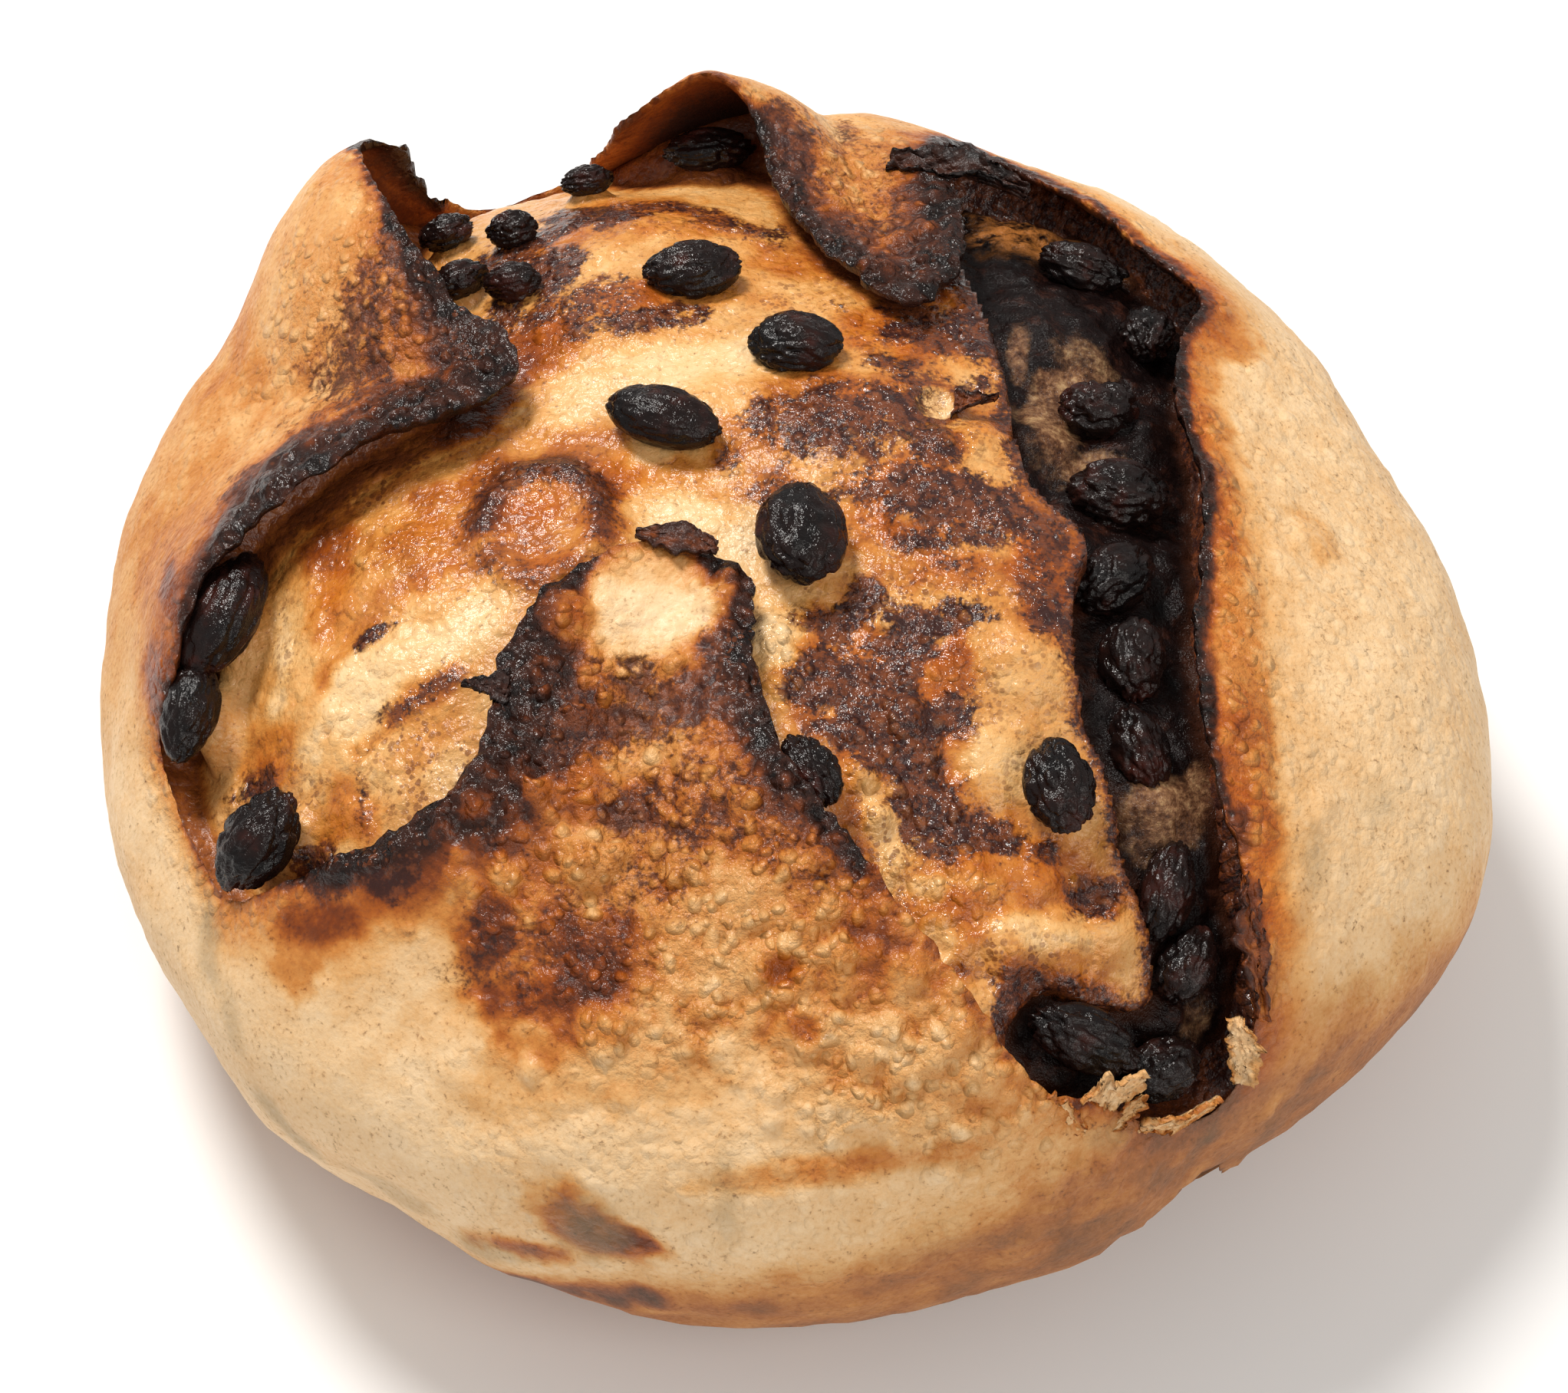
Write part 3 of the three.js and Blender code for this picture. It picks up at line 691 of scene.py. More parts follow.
def ovalMask(u, v, patches, roughness=0.5, seed=60):  # soft oval patches with uneven borders
    wobble = mapNoise(u, v, 6, seed) * roughness + 0.5 * roughness * mapNoise(u, v, 2.2, seed + 40)
    mask = np.zeros(len(u))
    for *oval, strength in patches:
        away = ovalAway(u, v, *oval)
        mask = np.maximum(mask, strength * (1 - smooth(0.4, 1.4, away + wobble)))
    return mask


# Where the baking shows, and where shade is painted. Patches: place, half sizes, turn in degrees, strength
crumbTones = {
    "base": 0.31,
    "goldTone": 0.18,
    "cinnamonTone": 0.12,
    "ringTone": 0.3,
    "paleTone": 0.16,
    "wallTone": 0.68,
    # painted shade on the crumb under the flaps, and a painted shadow beside the left flap
    "shadeTone": 0.3,
    "flapShadowTone": 0.16,
    "popped": {"middle": (22.8, 14), "radius": 4.0, "width": 0.7, "tone": 0.32},  # rim of a broken blister
    "cinnamon": [
        (-31, 63, 6, 4, -10, 1), (-35, 48, 4.5, 9, 5, 1), (-31, 37, 4, 5, 0, 0.6),
        (-20, 63, 10, 4, -5, 0.6), (-7, 57, 6, 4, -5, 0.6), (-38, 58, 5, 7, 0, 0.8),
        (-24, 36, 8, 4, 5, 0.4), (-15.5, 34, 5, 1.2, -8, 0.75), (9, 9, 10, 9, 10, 0.95),
        (-3, 8, 5, 4, 30, 0.6), (-7.5, 3, 2.5, 5, 0, 0.5), (-2, -4, 4, 3, 0, 0.45), (-28, 60, 8, 5, 0, 1),
        (36, -20, 4, 8, 0, 0.6), (22, 30, 10, 9, 0, 0.75), (29, 30, 4, 10, 0, 0.95), (15, 22, 6, 4, 0, 0.6),
        (30, 42, 7, 6, 0, 0.9), (22, 4, 4, 6, 0, 0.8), (18, -5, 10, 6, -5, 1), (28, -5, 5, 5, 0, 1),
        (19, -13, 6, 2.5, -10, 0.8), (24, -17, 3, 2, 0, 0.6), (32, -8, 4, 4, 0, 0.7),
        (12.5, -22, 2.5, 3, 0, 0.9), (7, -27, 6, 2.5, 0, 0.85), (20, -27, 5, 3, 0, 1),
        (14, -37, 9, 10, 0, 1), (5, -35, 5, 6, 0, 0.85), (19, -45, 7, 7, 0, 1), (8, -45, 4, 4, 20, 0.9),
        (21, -54, 5, 7, 10, 1), (29, -59, 8, 2.5, -12, 0.95), (38, -61, 4, 2, 0, 0.8),
        (37, -26, 4, 4, 0, 0.85), (38, -12, 3, 8, 0, 0.6), (-61, -25, 3.5, 1.3, 25, 0.8),
        (-54, -37, 8, 2, 28, 0.6), (-83, -42, 5, 4.5, 20, 0.8), (-62, -50, 1.6, 7, 5, 0.6),
        (-72, -57, 4, 4, 0, 0.7), (38, -80, 11, 1.8, -5, 0.8), (46, -66.5, 4, 3, -10, 0.8),
        (32, -86, 2.5, 8, -10, 1), (12, -66, 1.8, 9, 25, 0.6), (34, 8, 2, 10, 0, 0.6),
        (28, -11, 5, 3, 0, 0.8), (26, -26, 5, 2.5, 0, 0.9), (24, -42, 3, 4, 0, 0.8),
        (22, -49, 3, 4, 0, 0.9), (-36, 66, 6, 4, 0, 1), (-43, 56, 6, 5, 0, 0.9), (-42, 38, 4, 5, 0, 0.8),
        (-37, 36, 4, 4, 0, 0.6), (-21, 31, 9, 3, 5, 0.9),
    ],
    "dust": [
        (0, 38, 12, 8, 0, 0.7), (-52, -45, 9, 10, 0, 0.9), (-76, -20, 3, 10, 0, 0.6),
        (-55, -12, 18, 10, 20, 0.45), (22, -20, 14, 8, 0, 0.9), (36, -12, 6, 20, 0, 0.9),
        (34, -36, 8, 8, 0, 0.6), (30, -50, 8, 10, 0, 0.6), (36, -78, 14, 5, -5, 0.9),
        (14, -62, 8, 12, 0, 0.8), (10, 26, 12, 8, 0, 0.7), (-78, -44, 10, 6, 0, 0.8),
        (-14, 55, 16, 8, 0, 0.7), (3, -2, 8, 4, 0, 0.9), (-60, 5, 16, 5, 20, 1), (14, 0, 18, 20, 0, 0.8),
    ],
    "gold": [
        (-30, 6, 10, 5, 10, 0.8), (-36, 30, 5, 12, -15, 1), (-24, 37, 9, 5, 0, 0.8), (-35, -10, 9, 9, 0, 1),
        (-54, -12, 10, 8, 15, 0.75), (-67, -14, 4.5, 14, 3, 1), (-62, -22, 8, 3, 30, 0.7),
        (-55, -37, 9, 3.5, 28, 0.9), (-65, -52, 6, 6, 0, 0.85), (-80, -38, 6, 7, 0, 0.7),
        (-50, -45, 9, 8, 0, 0.3), (-16, 60, 12, 6, 0, 0.8), (0, 48, 8, 5, -10, 0.8), (-8, 38, 8, 4, 0, 0.5),
        (18, 26, 12, 9, 0, 0.9), (30, 10, 4, 10, 0, 0.8), (25, 6, 3, 3, 0, 1), (8, 14, 12, 6, 0, 0.9),
        (-6, 6, 7, 6, 0, 0.8), (22, -19, 11, 5, 0, 0.75), (-20, 0, 9, 3.5, 10, 0.9), (-3, -4, 6, 5, 0, 1),
        (-52, -17, 8, 5, 15, 1), (-22, 62, 14, 8, 0, 0.8), (20, -6, 14, 8, 0, 0.9), (36, -15, 6, 14, 0, 1),
        (25, -33, 1.8, 8, 0, 1), (13, -38, 13, 13, 0, 1), (24, -50, 4, 12, 0, 1), (27, -64, 14, 5, 0, 0.8),
        (38, -65, 10, 5, 0, 0.9), (46, -67, 4, 3, 0, 1), (26, -70, 14, 6, 0, 0.9), (42, -77, 8, 3, -5, 0.6),
        (38, -79.5, 12, 3, -5, 1), (34, -84, 5, 8, 0, 1), (5, -43, 3.5, 7, 20, 1),
        (10, -58, 3, 10, 20, 0.8), (-45, 2, 10, 5, 20, 0.9), (-46, 22, 6, 14, -20, 1),
        (-34, 54, 8, 10, 0, 0.9), (30, 35, 7, 14, 0, 0.9), (30, -58, 12, 4, -8, 0.8),
    ],
    "pale": [
        (-14, 21, 12, 5.5, 5, 1), (-30, 18, 9, 5, 5, 0.8), (-27, 47, 4.5, 5, 0, 0.5),
        (-14, -9, 9, 4, -15, 1), (-7, -13, 5, 6, -30, 0.9), (-56, -30.5, 20, 5.5, 29, 1),
        (-43, -23, 6, 4, 15, 0.9), (-72, -40, 5, 4, 20, 0.8), (-76, -19, 2.2, 8, 5, 0.8),
        (-78, -30, 3, 2.5, 30, 0.8), (22.5, 13.5, 3.2, 3.6, 0, 1), (34.5, -37, 5, 2.4, 0, 0.3),
        (31, -49, 5, 8, 5, 0.6), (38, -73.5, 9, 2.2, -5, 0.8), (13.5, -57, 2.2, 9, 18, 0.8),
        (-1, -28.5, 3.5, 6, 0, 1), (15, -27.5, 2.2, 2.2, 0, 0.9), (22, -76, 4, 4, 0, 0.7),
        (-9, 64, 5, 2, 0, 0.5), (21, -67, 3, 2.2, 0, 0.7), (-47, -50, 4, 6, 20, 0.5),
        (17, -9, 2, 1.6, 0, 0.4),
    ],
    "wet": [
        (21, -66, 10, 7, 0, 1), (14, -60, 5, 10, 15, 1), (-28, 30, 8, 5, 0, 0.9), (0, -31, 4, 8, 0, 1),
        (26, 6, 4, 4, 0, 1), (26, -36, 4, 8, 0, 0.8), (46, -67, 5, 4, 0, 1), (-36, 2, 8, 4, 0, 1),
        (-58, -8, 8, 6, 0, 0.7), (40, 28, 5, 9, 0, 1), (22, -20, 12, 6, 0, 0.6), (-62, -42, 4, 3, 0, 0.6),
    ],
}
crustTones = {
    "base": 0.12,  # tones run from 0, pale, to 1, burnt black
    "leftTone": 0.19,  # what each place adds to the base, or is turned to
    "goldTone": 0.25,
    "goldBlotch": 0.14,
    "haloTone": 0.2,
    "purpleTone": 0.2,
    "brownTone": 0.57,
    "paleTone": 0.10,
    "charTone": 0.9,
    # the flaps' undersides: their own orange-brown, with painted shade
    "shadedInsideTone": 0.58,
    "footTone": 0.30,
    "footShadeAndBrowning": 0.12,
    "brown": [
        (-31, -79, 12, 9, 0, 1), (-41, -73, 7, 6, 0, 0.9), (-26, -76, 7, 5, 0, 1), (-25, -86, 4, 3, 0, 0.5),
        (-66, -69, 8, 3.5, 0, 0.9), (-15, -61, 9, 9, 0, 0.35), (-3, -62, 6, 7, 0, 0.5),
        (-35, -89, 5, 3.5, 0, 0.5), (-38, -60, 6, 4, 0, 0.9), (0.5, -79.5, 3.5, 2.5, 0, 0.9),
        (3.5, -87, 3, 2.5, 0, 0.9), (-25, -54, 8, 5, 0, 0.7), (-52, -66, 10, 4, 5, 0.7),
        (12, -71, 4, 6, 0, 0.6), (-30, -66, 10, 5, 0, 0.45), (-31, -116, 9, 6, -35, 1),
        (-40, -133, 26, 4, 0, 0.7), (-42, -121, 10, 3, -10, 0.9), (-22, -118, 6, 2.5, -30, 1),
        (5, -106, 22, 2, 8, 0.45), (26, -85, 2.5, 6, 40, 0.5), (-93, -26, 4, 9, 15, 1),
        (-90, -11, 2, 9, 20, 0.8), (-28, -29, 2.5, 4, 0, 0.8),
    ],
    "purple": [
        (-55, 32, 7, 13, -15, 0.6), (-47, 28, 6, 10, 0, 0.9), (-61, 21, 8, 8, 0, 0.8),
        (-69, 9, 8, 4, -30, 0.7), (-77, 5, 4, 5, 30, 0.7), (-16, -43, 14, 6, 0, 1), (-26, -46, 8, 8, 0, 1),
        (-22, -56.5, 7, 4, 0, 1), (-6.5, -38, 4.5, 10, 8, 1), (-59, -63, 13, 3.5, 8, 0.95),
        (8, -66, 5, 6, -30, 0.7), (12, 52, 6, 9, 0, 0.55), (12, 60, 14, 20, 0, 0.3), (20, 47, 7, 7, 0, 0.8),
        (2, 66, 4, 12, 0, 0.8), (10, 84, 2, 6, 0, 0.5), (20, 64, 3, 3, 0, 0.8), (-40, -62, 8, 4, 0, 0.7),
        (-66, 20, 5, 9, -40, 0.6), (-34, -76, 12, 8, 0, 0.4), (-29, -46, 4, 8, 0, 0.8),
        (-13, -54, 10, 6, 0, 0.7), (-19, -66, 8, 7, 0, 0.45), (-3, -60, 6, 6, 0, 0.6),
    ],
    "gold": [
        (0, -76, 30, 16, 0, 0.95), (10, -90, 24, 8, -20, 0.7), (-45, -82, 16, 7, 0, 0.35),
        (-30, -94, 22, 6, 0, 0.4), (-76, 12, 22, 18, 30, 0.3), (-76, 42, 14, 28, 0, 0.5),
        (65, -28, 4.5, 44, 0, 0.9), (66, 15, 4.5, 32, 0, 0.8), (-90, -8, 10, 22, 30, 0.5),
        (44, 82, 6, 4, -45, 0.6), (66, 62, 6, 5, -45, 0.5), (-20, 100, 20, 12, 0, 0.6),
        (18, 90, 22, 10, 0, 0.5), (81, 0, 4.5, 4.5, 0, 0.6), (70, 42, 7, 6, 0, 0.9),
        (30, -104, 30, 6, -10, 0.4), (66, -62, 5, 18, 0, 0.9), (10, 62, 16, 24, 0, 0.6),
        (-60, 48, 8, 18, 10, 0.7), (-14, -54, 16, 8, 0, 0.7), (21, -84, 3.5, 12, 38, 1),
        (-68, -72, 10, 5, 0, 0.8), (18, -80, 8, 10, 38, 0.6),
    ],
    "pale": [
        (-18, -30, 8, 5, 0, 1), (62, 76, 16, 8, -45, 1), (-23, -27, 4, 3, 0, 0.8), (-52, -76, 5, 4, 0, 0.6),
        (46, -108, 14, 6, -20, 0.6), (-60, -108, 20, 8, 0, 0.4), (12, -88, 6, 4, 0, 0.5),
        (-9, -81, 6, 5, 0, 0.45), (-23, -92, 6, 3.5, 0, 0.5), (5, 88, 8, 6, 0, 0.3),
    ],
    "shadow": [
        (-31, -116, 9, 6, -35, 0.8), (-89, -64, 1, 4, 0, 1), (-84, -98, 3, 9, 20, 0.8),
        (-89, -68, 3, 7, 0, 0.7), (-86, -79, 2, 6, 0, 0.5), (76, -56, 3, 5, 0, 0.5),
        (-8, -110, 2, 8, 0, 0.6), (-50, -122, 10, 3, 0, 0.7), (86, -44, 3, 4, 0, 0.4),
        (30, -120, 30, 3, 10, 0.5), (-70, -110, 12, 3, -30, 0.5), (50, -101, 5, 3, 0, 0.6),
    ],
    # where the small beads stand out
    "beaded": [
        (-10, -68, 36, 26, 0, 1), (-30, -42, 14, 16, 0, 1), (-58, 26, 22, 22, -45, 0.9),
        (12, 60, 16, 28, 0, 1), (16, -92, 24, 12, -20, 0.9), (64, -28, 5, 70, 0, 0.9),
        (90, -10, 30, 70, 0, 0.3), (0, -112, 70, 20, 0, 0.3), (-88, 10, 16, 40, 0, 0.3),
    ],
    # the lower side is browner, partly baked colour and partly painted shade, reaching highest up at the
    # front right, the side turned from the key light: distances from the crown, and degrees
    "footStart": 144,
    "footRise": 42,
    "footHeading": -56,
}


def setTones(piece, tones):
    for name, values in tones.items():
        layer = piece.data.attributes.new(name, "FLOAT", "POINT")
        layer.data.foreach_set("value", np.clip(values, 0, 1).astype(np.float32))


def paintCrust(piece):
    places = placesOf(piece.data) / mm
    u, v, lift = mapOf(places)
    x, y, z = places.T
    distance, values = nearEdge(u, v)
    charWidth, goldWidth = values[:, 1], values[:, 2]
    t = crustTones
    ragged = layered(x, y, z, 5, 73)
    blotchy = layered(x, y, z, 13, 74)
    bead = np.clip(blisterLift(u, v) / 0.9, 0, 1)
    depth = crustLift(u, v) - lift
    gold = ovalMask(u, v, t["gold"], 0.6, 61)
    edgeGold = np.exp(-1.2 * np.clip(distance / np.maximum(goldWidth, 1) + 0.35 * ragged, 0, None) ** 2)
    gold = np.maximum(gold, 0.85 * edgeGold)
    brown = ovalMask(u, v, t["brown"], 0.45, 62)
    purple = ovalMask(u, v, t["purple"], 0.9, 68)
    pale = ovalMask(u, v, t["pale"], 0.5, 63)
    beaded = np.maximum(ovalMask(u, v, t["beaded"], 0.4, 69), 0.8 * (1 - smooth(0, 8, distance)))
    spared = 0.8 * bead * smooth(0.2, 0.7, distance / np.maximum(charWidth, 0.3))  # beads stay golden
    charred = charAt(u, v) * (1 - spared)
    halo = 1 - smooth(0.7, 2.2, (distance + 3 * ragged) / np.maximum(charWidth, 0.3))
    leftSide = smooth(-70, -95, u) * smooth(-40, 0, v)
    tone = t["base"] + 0.05 * layered(x, y, z, 22, 72) + 0.04 * ragged + t["leftTone"] * leftSide
    tone = tone + (t["goldTone"] + t["goldBlotch"] * blotchy) * gold
    tone = tone + t["haloTone"] * halo + t["purpleTone"] * purple
    tone = mix(tone, np.maximum(tone, t["brownTone"] + 0.12 * ragged), brown)
    tone = tone - (0.03 + 0.12 * np.clip(gold + brown, 0, 1)) * (bead - 0.5)
    tone = mix(tone, t["paleTone"], pale)
    crackled = t["charTone"] + 0.16 * layered(x, y, z, 2.4, 75) - 0.18 * bead
    tone = mix(tone, crackled, charred)
    # the undersides of the flaps: their own orange-brown, with painted shade that deepens further in under
    # the flap
    inner = smooth(0.9, 1.7, depth)
    amber = smooth(20, 34, u) * smooth(50, 62, v)
    shadedInsideTone = t["shadedInsideTone"] - 0.16 * amber + 0.3 * smooth(3, 12, distance)
    tone = mix(tone, np.maximum(tone, shadedInsideTone), inner)
    arc, angle = np.hypot(u, v), np.arctan2(v, u)
    # low down the crust is browner, and painted shade darkens it most on the front right, turned from the
    # key light; painted shade tinted olive lies over the foot
    brownAndShadedSide = np.clip(np.cos(angle - math.radians(t["footHeading"])), 0, 1) ** 2
    footStart = t["footStart"] - t["footRise"] * brownAndShadedSide + 4 * blotchy
    foot = smooth(footStart, footStart + 22, arc)
    tone = tone + (t["footTone"] + t["footShadeAndBrowning"] * brownAndShadedSide) * foot * (0.92 + 0.25 * ragged)
    oliveFootShade = (0.2 + 0.35 * brownAndShadedSide) * foot * (0.8 + 0.4 * ragged)
    shadow = np.maximum(ovalMask(u, v, t["shadow"], 0.5, 64), oliveFootShade)
    gloss = np.clip(0.45 * gold + 0.5 * brown + 0.6 * charred + 0.3 * bead, 0, 1) * (1 - inner)
    orange = np.exp(-((distance - 3) / 4.5) ** 2) * smooth(40, 55, u) * (1 - charred) * (1 - inner)
    warm = np.max([0.4 * gold, 0.6 * inner, 0.05 * foot, 0.95 * brown * (1 - foot)], axis=0) * (1 - pale)
    setTones(piece, {
        "tone": tone + 0.03 * orange,
        "warm": np.maximum(warm, orange),
        "cinnamon": purple * (1 - charred) * (1 - pale) * (1 - 0.6 * bead),
        "dust": 0.8 * purple,
        "shadow": shadow,
        "gloss": gloss,
        "beads": beaded * (1 - inner),
    })


def paintCrumb(piece):
    places = placesOf(piece.data) / mm
    u, v, _ = mapOf(places)
    x, y, z = places.T
    t = crumbTones
    ragged = layered(x, y, z, 4, 81)
    gold = ovalMask(u, v, t["gold"], 0.7, 65)
    cinnamon = ovalMask(u, v, t["cinnamon"], 0.8, 66)
    pale = ovalMask(u, v, t["pale"], 0.5, 67)
    dust = ovalMask(u, v, t["dust"], 0.5, 70)
    wetter = ovalMask(u, v, t["wet"], 0.5, 71)
    tone = t["base"] + 0.05 * ragged + 0.06 * layered(x, y, z, 15, 82) + t["goldTone"] * gold
    tone = mix(tone, t["paleTone"], pale * (1 - 0.7 * cinnamon))
    ring = np.exp(-((ringGap(u, v) - 0.8) / 2.9) ** 2) * (0.4 + 0.6 * smooth(-18, 0, v + 8 * ragged))
    cinnamon = np.maximum(cinnamon, 0.6 * ring)
    tone = tone + t["cinnamonTone"] * cinnamon + t["ringTone"] * ring
    popped = t["popped"]
    away = np.hypot(u - popped["middle"][0], v - popped["middle"][1])
    tone = tone + popped["tone"] * np.exp(-((away - popped["radius"]) / popped["width"]) ** 2)
    inside = trenchAt(u, v)
    rimBand = np.exp(-((inside + 0.5) / 2.0) ** 2)
    wall = smooth(-0.5, 1.5, inside)
    tone = mix(tone, t["wallTone"], np.maximum(0.6 * rimBand, wall))
    cinnamon = np.maximum(cinnamon, 0.7 * rimBand)
    distance, _ = nearEdge(u, v)
    under = ~insideOutline(u, v, edgeSmooth)
    # painted shade on the crumb under the flaps, and a painted shadow just beside the left flap
    shade = np.where(under, smooth(-1, 4, distance), 0)
    shadowBesideFlap = np.exp(-(distance / 5) ** 2) * smooth(-28, -36, u) * smooth(-25, -10, v) * ~under
    tone = tone + t["shadeTone"] * shade + t["flapShadowTone"] * shadowBesideFlap
    wet = np.clip(0.4 + 0.3 * gold + 0.35 * cinnamon + 0.5 * wetter, 0, 1)
    setTones(piece, {
        "tone": tone,
        "warm": np.clip(gold + 0.5 * ring, 0, 1) * (1 - pale),
        "cinnamon": cinnamon,
        "dust": np.maximum(dust, 0.8 * smooth(0.05, 0.6, cinnamon)),
        "shadow": 0 * u,
        "gloss": wet,
        "beads": 0.25 + 0.5 * wetter + 0.5 * cinnamon,
    })


def add(tree, kind, inputs=None, **settings):  # one shader node, its inputs set or linked
    node = tree.nodes.new(kind)
    for name, value in settings.items():
        setattr(node, name, value)
    for name, value in (inputs or {}).items():
        if isinstance(value, bpy.types.NodeSocket):
            tree.links.new(value, node.inputs[name])
        else:
            node.inputs[name].default_value = value
    return node


def maths(tree, operation, a, b=0.5, clamp=False):
    return add(tree, "ShaderNodeMath", {0: a, 1: b}, operation=operation, use_clamp=clamp).outputs[0]


def times(tree, a, b):
    return maths(tree, "MULTIPLY", a, b)


def plus(tree, a, b, clamp=False):
    return maths(tree, "ADD", a, b, clamp)


def attribute(tree, name):
    return add(tree, "ShaderNodeAttribute", attribute_name=name).outputs["Fac"]


def grain(tree, coordinates, size, detail=3, roughness=0.6):  # noise with lumps of a size in mm
    inputs = {"Vector": coordinates, "Scale": 1000 / size, "Detail": detail, "Roughness": roughness}
    return add(tree, "ShaderNodeTexNoise", inputs).outputs["Fac"]


def ramp(tree, value, stops):
    node = add(tree, "ShaderNodeValToRGB", {"Fac": value})
    elements = node.color_ramp.elements
    while len(elements) < len(stops):
        elements.new(0.5)
    for element, (place, colour) in zip(elements, stops):
        element.position = place
        element.color = (*colour, 1) if len(colour) == 3 else colour
    return node.outputs["Color"]


def step(tree, value, low, high):  # a soft threshold, 0 below low and 1 above high
    inputs = {"Value": value, "From Min": low, "From Max": high}
    return add(tree, "ShaderNodeMapRange", inputs, interpolation_type="SMOOTHSTEP").outputs["Result"]


def blend(tree, factor, a, b, kind="MIX"):
    node = tree.nodes.new("ShaderNodeMix")
    node.data_type = "RGBA"
    node.blend_type = kind
    for socket, value in ((node.inputs[0], factor), (node.inputs[6], a), (node.inputs[7], b)):
        if isinstance(value, bpy.types.NodeSocket):
            tree.links.new(value, socket)
        else:
            socket.default_value = value if isinstance(value, float) else (*value, 1)
    return node.outputs[2]


def newMaterial(name):
    material = bpy.data.materials.new(name)
    material.use_nodes = True
    tree = material.node_tree
    return material, tree, tree.nodes["Principled BSDF"], add(tree, "ShaderNodeTexCoord").outputs["Object"]


def addBump(tree, shader, height, look):
    settings = {"Strength": look["bump"], "Distance": look["bumpDepth"] * mm, "Height": height}
    bump = add(tree, "ShaderNodeBump", settings)
    tree.links.new(bump.outputs["Normal"], shader.inputs["Normal"])


bakeColours = {
    "crust": [
        (0.0, (0.86, 0.65, 0.42)), (0.13, (0.78, 0.53, 0.29)), (0.26, (0.68, 0.38, 0.15)),
        (0.39, (0.55, 0.22, 0.05)), (0.51, (0.38, 0.11, 0.018)), (0.63, (0.18, 0.045, 0.012)),
        (0.78, (0.052, 0.016, 0.009)), (1.0, (0.008, 0.0045, 0.004)),
    ],
    "crumb": [
        (0.0, (0.90, 0.72, 0.46)), (0.13, (0.84, 0.58, 0.31)), (0.26, (0.74, 0.41, 0.15)),
        (0.39, (0.60, 0.25, 0.055)), (0.51, (0.40, 0.12, 0.02)), (0.63, (0.18, 0.045, 0.012)),
        (0.78, (0.05, 0.016, 0.010)), (1.0, (0.010, 0.006, 0.005)),
    ],
    "warm": (1.0, 0.70, 0.28),  # multiplies the oven-gold places
    "cinnamonLight": (0.16, 0.044, 0.016),
    "cinnamonDark": (0.04, 0.013, 0.010),
    "beadTop": (0.36, 0.13, 0.045),
    "dust": (0.17, 0.045, 0.014),
    "shadow": (0.26, 0.19, 0.10),
}


crustLook = {
    "mottle": 0.24,  # how far the broad and the fine grain move the tone
    "speck": 0.16,
    "beadTop": 0.13,
    "warmth": 0.85,
    "spice": 0.85,  # how much the cinnamon covers, and how bare the bead tops stand out of it
    "tops": 0.4,
    "bareDust": 0.35,
    "dry": 0.58,  # roughness, and how much it drops where it is glossy
    "drop": 0.38,
    "shine": 0.28,
    "bump": 0.8,
    "bumpDepth": 0.7,
}
crumbLook = {
    **crustLook, "beadTop": 0.10, "warmth": 0.8, "spice": 1.0, "bareDust": 0.22, "dry": 0.5, "drop": 0.42,
    "shine": 0.4,
}


def centred(tree, value, amount):  # a 0..1 value turned into one round zero
    return times(tree, maths(tree, "SUBTRACT", value), amount)


def beads(tree, coordinates, size):  # separate round swells of uneven size, 0 to 1
    noise = add(tree, "ShaderNodeTexNoise", {"Vector": coordinates, "Scale": 600 / size, "Detail": 1.0})
    shift = {0: noise.outputs["Color"], 1: (0.001 * size,) * 3, 2: coordinates}
    wobbled = add(tree, "ShaderNodeVectorMath", shift, operation="MULTIPLY_ADD").outputs[0]
    cell = add(tree, "ShaderNodeTexVoronoi", {"Vector": wobbled, "Scale": 1000 / size})
    radius = plus(tree, times(tree, cell.outputs["Color"], 0.5), 0.22)
    gap = maths(tree, "DIVIDE", cell.outputs["Distance"], radius)
    dome = maths(tree, "SUBTRACT", 1, times(tree, gap, gap), clamp=True)
    return times(tree, dome, times(tree, radius, 1.9))


